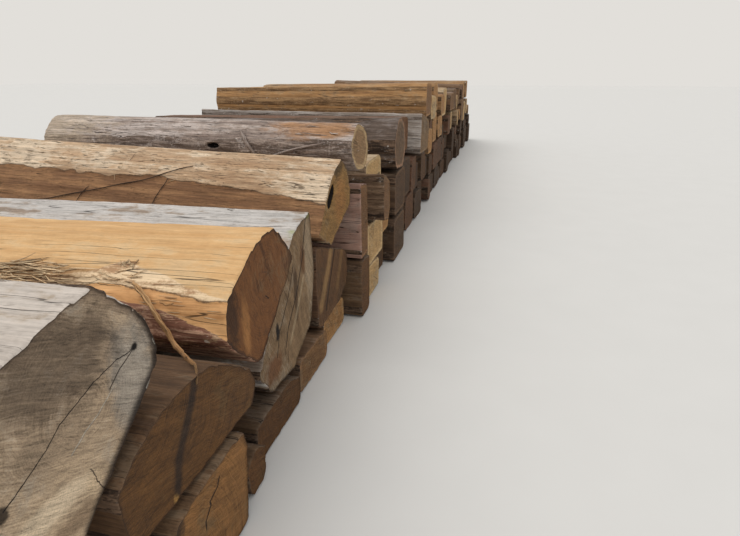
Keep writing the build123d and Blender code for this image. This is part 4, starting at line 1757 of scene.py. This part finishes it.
def strew(heap: Heap) -> None:
    """Lays the torn bark, splinters and twigs where they show on the near logs.

    Args:
        heap: The heap they lie on.
    """
    torn = Litter("torn_fibres", heap, "peeled_tan_log", Wood.FIBRE, "brown_wood", 3)
    torn.scatter(120, (0.66, -0.275, 0.09), (1.12, -0.17, 0.16), (0.05, 0.17), 11, 0.009)
    torn.scatter(50, (1.1, -0.27, 0.1), (1.9, -0.2, 0.15), (0.05, 0.2), 9, 0.008)
    torn.scatter(20, (0.4, -0.24, 0.11), (0.56, -0.19, 0.14), (0.03, 0.08), 14, 0.007)
    torn.scatter(16, (0.42, -0.165, 0.15), (0.48, -0.145, 0.17), (0.015, 0.04), 60, 0.01)
    torn.scatter(12, (0.05, -0.3, 0.03), (0.34, -0.26, 0.1), (0.04, 0.12), 3, 0.005)
    torn.build()
    hanging = Litter("hanging_bark", heap, "peeled_tan_log", Wood.BARK_STRIP, "brown_wood", 5)
    hanging.hang(
        ((0.37, -0.245, 0.124), (0.32, -0.27, 0.109), (0.268, -0.303, 0.075), (0.234, -0.317, 0.028),
         (0.203, -0.325, -0.012), (0.176, -0.335, -0.05), (0.099, -0.405, -0.035), (0.039, -0.473, -0.011),
         (0.002, -0.508, 0.0), (-0.028, -0.526, 0.0)), 0.026, 0.005,
    )
    hanging.hang(
        ((0.039, -0.473, -0.009), (-0.026, -0.524, 0.002), (-0.04, -0.545, -0.02),
         (-0.049, -0.565, -0.037)), 0.012,
    )
    beside = ((0.35, -0.262, 0.116), (0.285, -0.3, 0.085), (0.222, -0.328, 0.03), (0.196, -0.334, -0.004))
    hanging.hang(beside, 0.012)
    hanging.hang(((0.23, -0.3, 0.084), (0.2, -0.312, 0.08), (0.17, -0.31, 0.088)), 0.01)
    hanging.build()
    twigs = Litter("twigs", heap, "slotted_log", Wood.TWIG, "dark_wood", 7)
    twigs.lay(
        ((0.809, -0.074, 0.169), (1.034, -0.155, 0.1), (1.38, -0.225, 0.021), (1.617, -0.268, -0.028),
         (1.801, -0.297, -0.06)), 0.006, 0.005, 6,
    )
    twigs.lay(((0.933, -0.157, 0.096), (0.968, -0.223, 0.017), (0.981, -0.291, -0.064)), 0.005, 0.004, 6)
    twigs.lay(((1.41, -0.2, 0.03), (1.436, -0.231, 0.0), (1.46, -0.28, -0.06)), 0.004, 0.004, 6)
    twigs.build()
    chips = Litter("dry_leaf_and_chips", heap, "slotted_log", Wood.CREAM, "cream_wood", 9)
    chips.lay(((1.46, -0.27, -0.045), (1.475, -0.294, -0.075)), 0.03, 0.002)
    chips.scatter(46, (0.1, -0.17, 0.06), (2.3, 0.1, 0.2), (0.02, 0.07), 30, 0.006)
    chips.build()
    strips = Litter("bark_strips", heap, "round_grey_log", Wood.ROUND_GREY, "grey_weathered_wood", 11)
    steep = ((0.74, -0.116, 0.101), (0.681, -0.15, 0.04), (0.643, -0.152, -0.012), (0.593, -0.13, -0.068))
    strips.lay(steep, 0.034, 0.008, lift=0.004)
    gentle = ((0.576, -0.133, -0.061), (0.384, -0.147, -0.007), (0.158, -0.139, 0.036))
    strips.lay(gentle, 0.018, 0.008, lift=0.004)
    strips.scatter(30, (0.1, -0.15, -0.05), (2.2, 0.0, 0.13), (0.05, 0.2), 10, 0.008)
    strips.build()


# Camera, floor and light


@dataclass(frozen=True)
class Sun:
    """One soft far light: the way it shines, its strength, its width in the sky in degrees, its colour."""

    name: str
    way: Point
    strength: float
    width: float
    colour: Light


@dataclass(frozen=True)
class Studio:
    """The camera, the plain pale floor and the soft light.

    Attributes:
        eye: Where the camera stands: beside the foremost butt, before the row's start, over the floor.
        swing: How far it looks left of the row's run, in degrees.
        dip: How far it looks down, in degrees.
        focal_pixels: Its focal length in pixels of the picture.
        picture_width: The picture's width in pixels.
        sensor: The same width on the sensor, in millimetres.
        floor_size: The floor's side, in metres.
        sky: The sky's even light.
        sky_strength: How strong it is.
        backdrop: What is seen behind the floor.
        suns: The far lights.
    """

    eye: Point = (0.735, 0.1546, 1.5)
    swing: float = 13.851
    dip: float = 19.871
    focal_pixels: float = 534
    picture_width: float = 740
    sensor: float = 36
    floor_size: float = 160
    sky: Light = (0.86, 0.9, 0.96)
    sky_strength: float = 0.75
    backdrop: Colour = "e2dfda"
    suns: Tuple[Sun, ...] = (
        Sun("sky from above", (0.35, 0.25, -1.0), 1.5, 70, (1.0, 0.97, 0.93)),
        Sun("soft fill", (-0.8, 0.5, -0.35), 0.5, 90, (1.0, 0.94, 0.86)),
    )

    def build(self) -> None:
        """Adds everything around the heap."""
        self.add_floor()
        self.add_sky()
        for sun in self.suns:
            self.add_sun(sun)
        self.add_camera()
        log.info("studio: floor, sky, %d lights and camera", len(self.suns))

    def add_floor(self) -> None:
        """Adds the floor."""
        bpy.ops.mesh.primitive_plane_add(size=self.floor_size, location=(0, 0, 0))
        made = bpy.context.object
        made.name = "floor"
        b = ShaderBench(bpy.data.materials.new("floor"))
        speck = b.noise(b.node("ShaderNodeTexCoord", {}, {}, "Object"), *Grain.FLOOR.value)
        colour = b.mix(speck, "cfccc6", "d3d0ca")
        made.data.materials.append(b.finish(colour, 0.9, speck, 0.0005))

    def add_sky(self) -> None:
        """Adds the sky's light, and the backdrop that the camera and reflections see instead of it."""
        made = bpy.data.worlds.new("sky")
        b = ShaderBench(made)
        light = b.node("ShaderNodeBackground", {}, {"Color": self.sky, "Strength": self.sky_strength})
        backdrop = b.node("ShaderNodeBackground", {}, {"Color": self.backdrop})
        rays = [f"Is {kind} Ray" for kind in ("Camera", "Glossy", "Transmission")]
        camera, glossy, through = (b.node("ShaderNodeLightPath", {}, {}, ray) for ray in rays)
        sockets = {0: camera.most(glossy).most(through), 1: light, 2: backdrop}
        b.close("ShaderNodeOutputWorld", b.node("ShaderNodeMixShader", {}, sockets))
        bpy.context.scene.world = made

    def add_sun(self, sun: Sun) -> None:
        """Adds one far light.

        Args:
            sun: The light.
        """
        data = bpy.data.lights.new(sun.name, "SUN")
        data.energy = sun.strength
        data.angle = math.radians(sun.width)
        data.color = sun.colour
        made = bpy.data.objects.new(sun.name, data)
        made.rotation_euler = Vector(sun.way).to_track_quat("-Z", "Y").to_euler()
        bpy.context.scene.collection.objects.link(made)

    def add_camera(self) -> None:
        """Adds the camera."""
        data = bpy.data.cameras.new("Camera")
        data.lens = self.focal_pixels / self.picture_width * self.sensor
        data.sensor_width = self.sensor
        made = bpy.data.objects.new("Camera", data)
        bpy.context.scene.collection.objects.link(made)
        swing, dip = math.radians(self.swing), math.radians(self.dip)
        way = Vector((-math.sin(swing) * math.cos(dip), math.cos(swing) * math.cos(dip), -math.sin(dip)))
        start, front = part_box("start_chock_log")[0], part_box("splintered_log")[1]
        beside, before, height = self.eye
        made.location = (front.x + beside, start.y - before, height)
        made.rotation_euler = way.to_track_quat("-Z", "Y").to_euler()
        bpy.context.scene.camera = made


def main() -> None:
    """Builds the heap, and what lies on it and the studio."""
    logging.basicConfig(level=logging.INFO)
    bpy.context.scene.view_settings.view_transform = "Standard"
    slots = {part["node"]: part["material_slot"] for part in frame["record"]["subparts"]}
    heap = Heap(frame["nodes"], slots)
    heap.build()
    strew(heap)
    Studio().build()


if __name__ == "__main__":
    main()
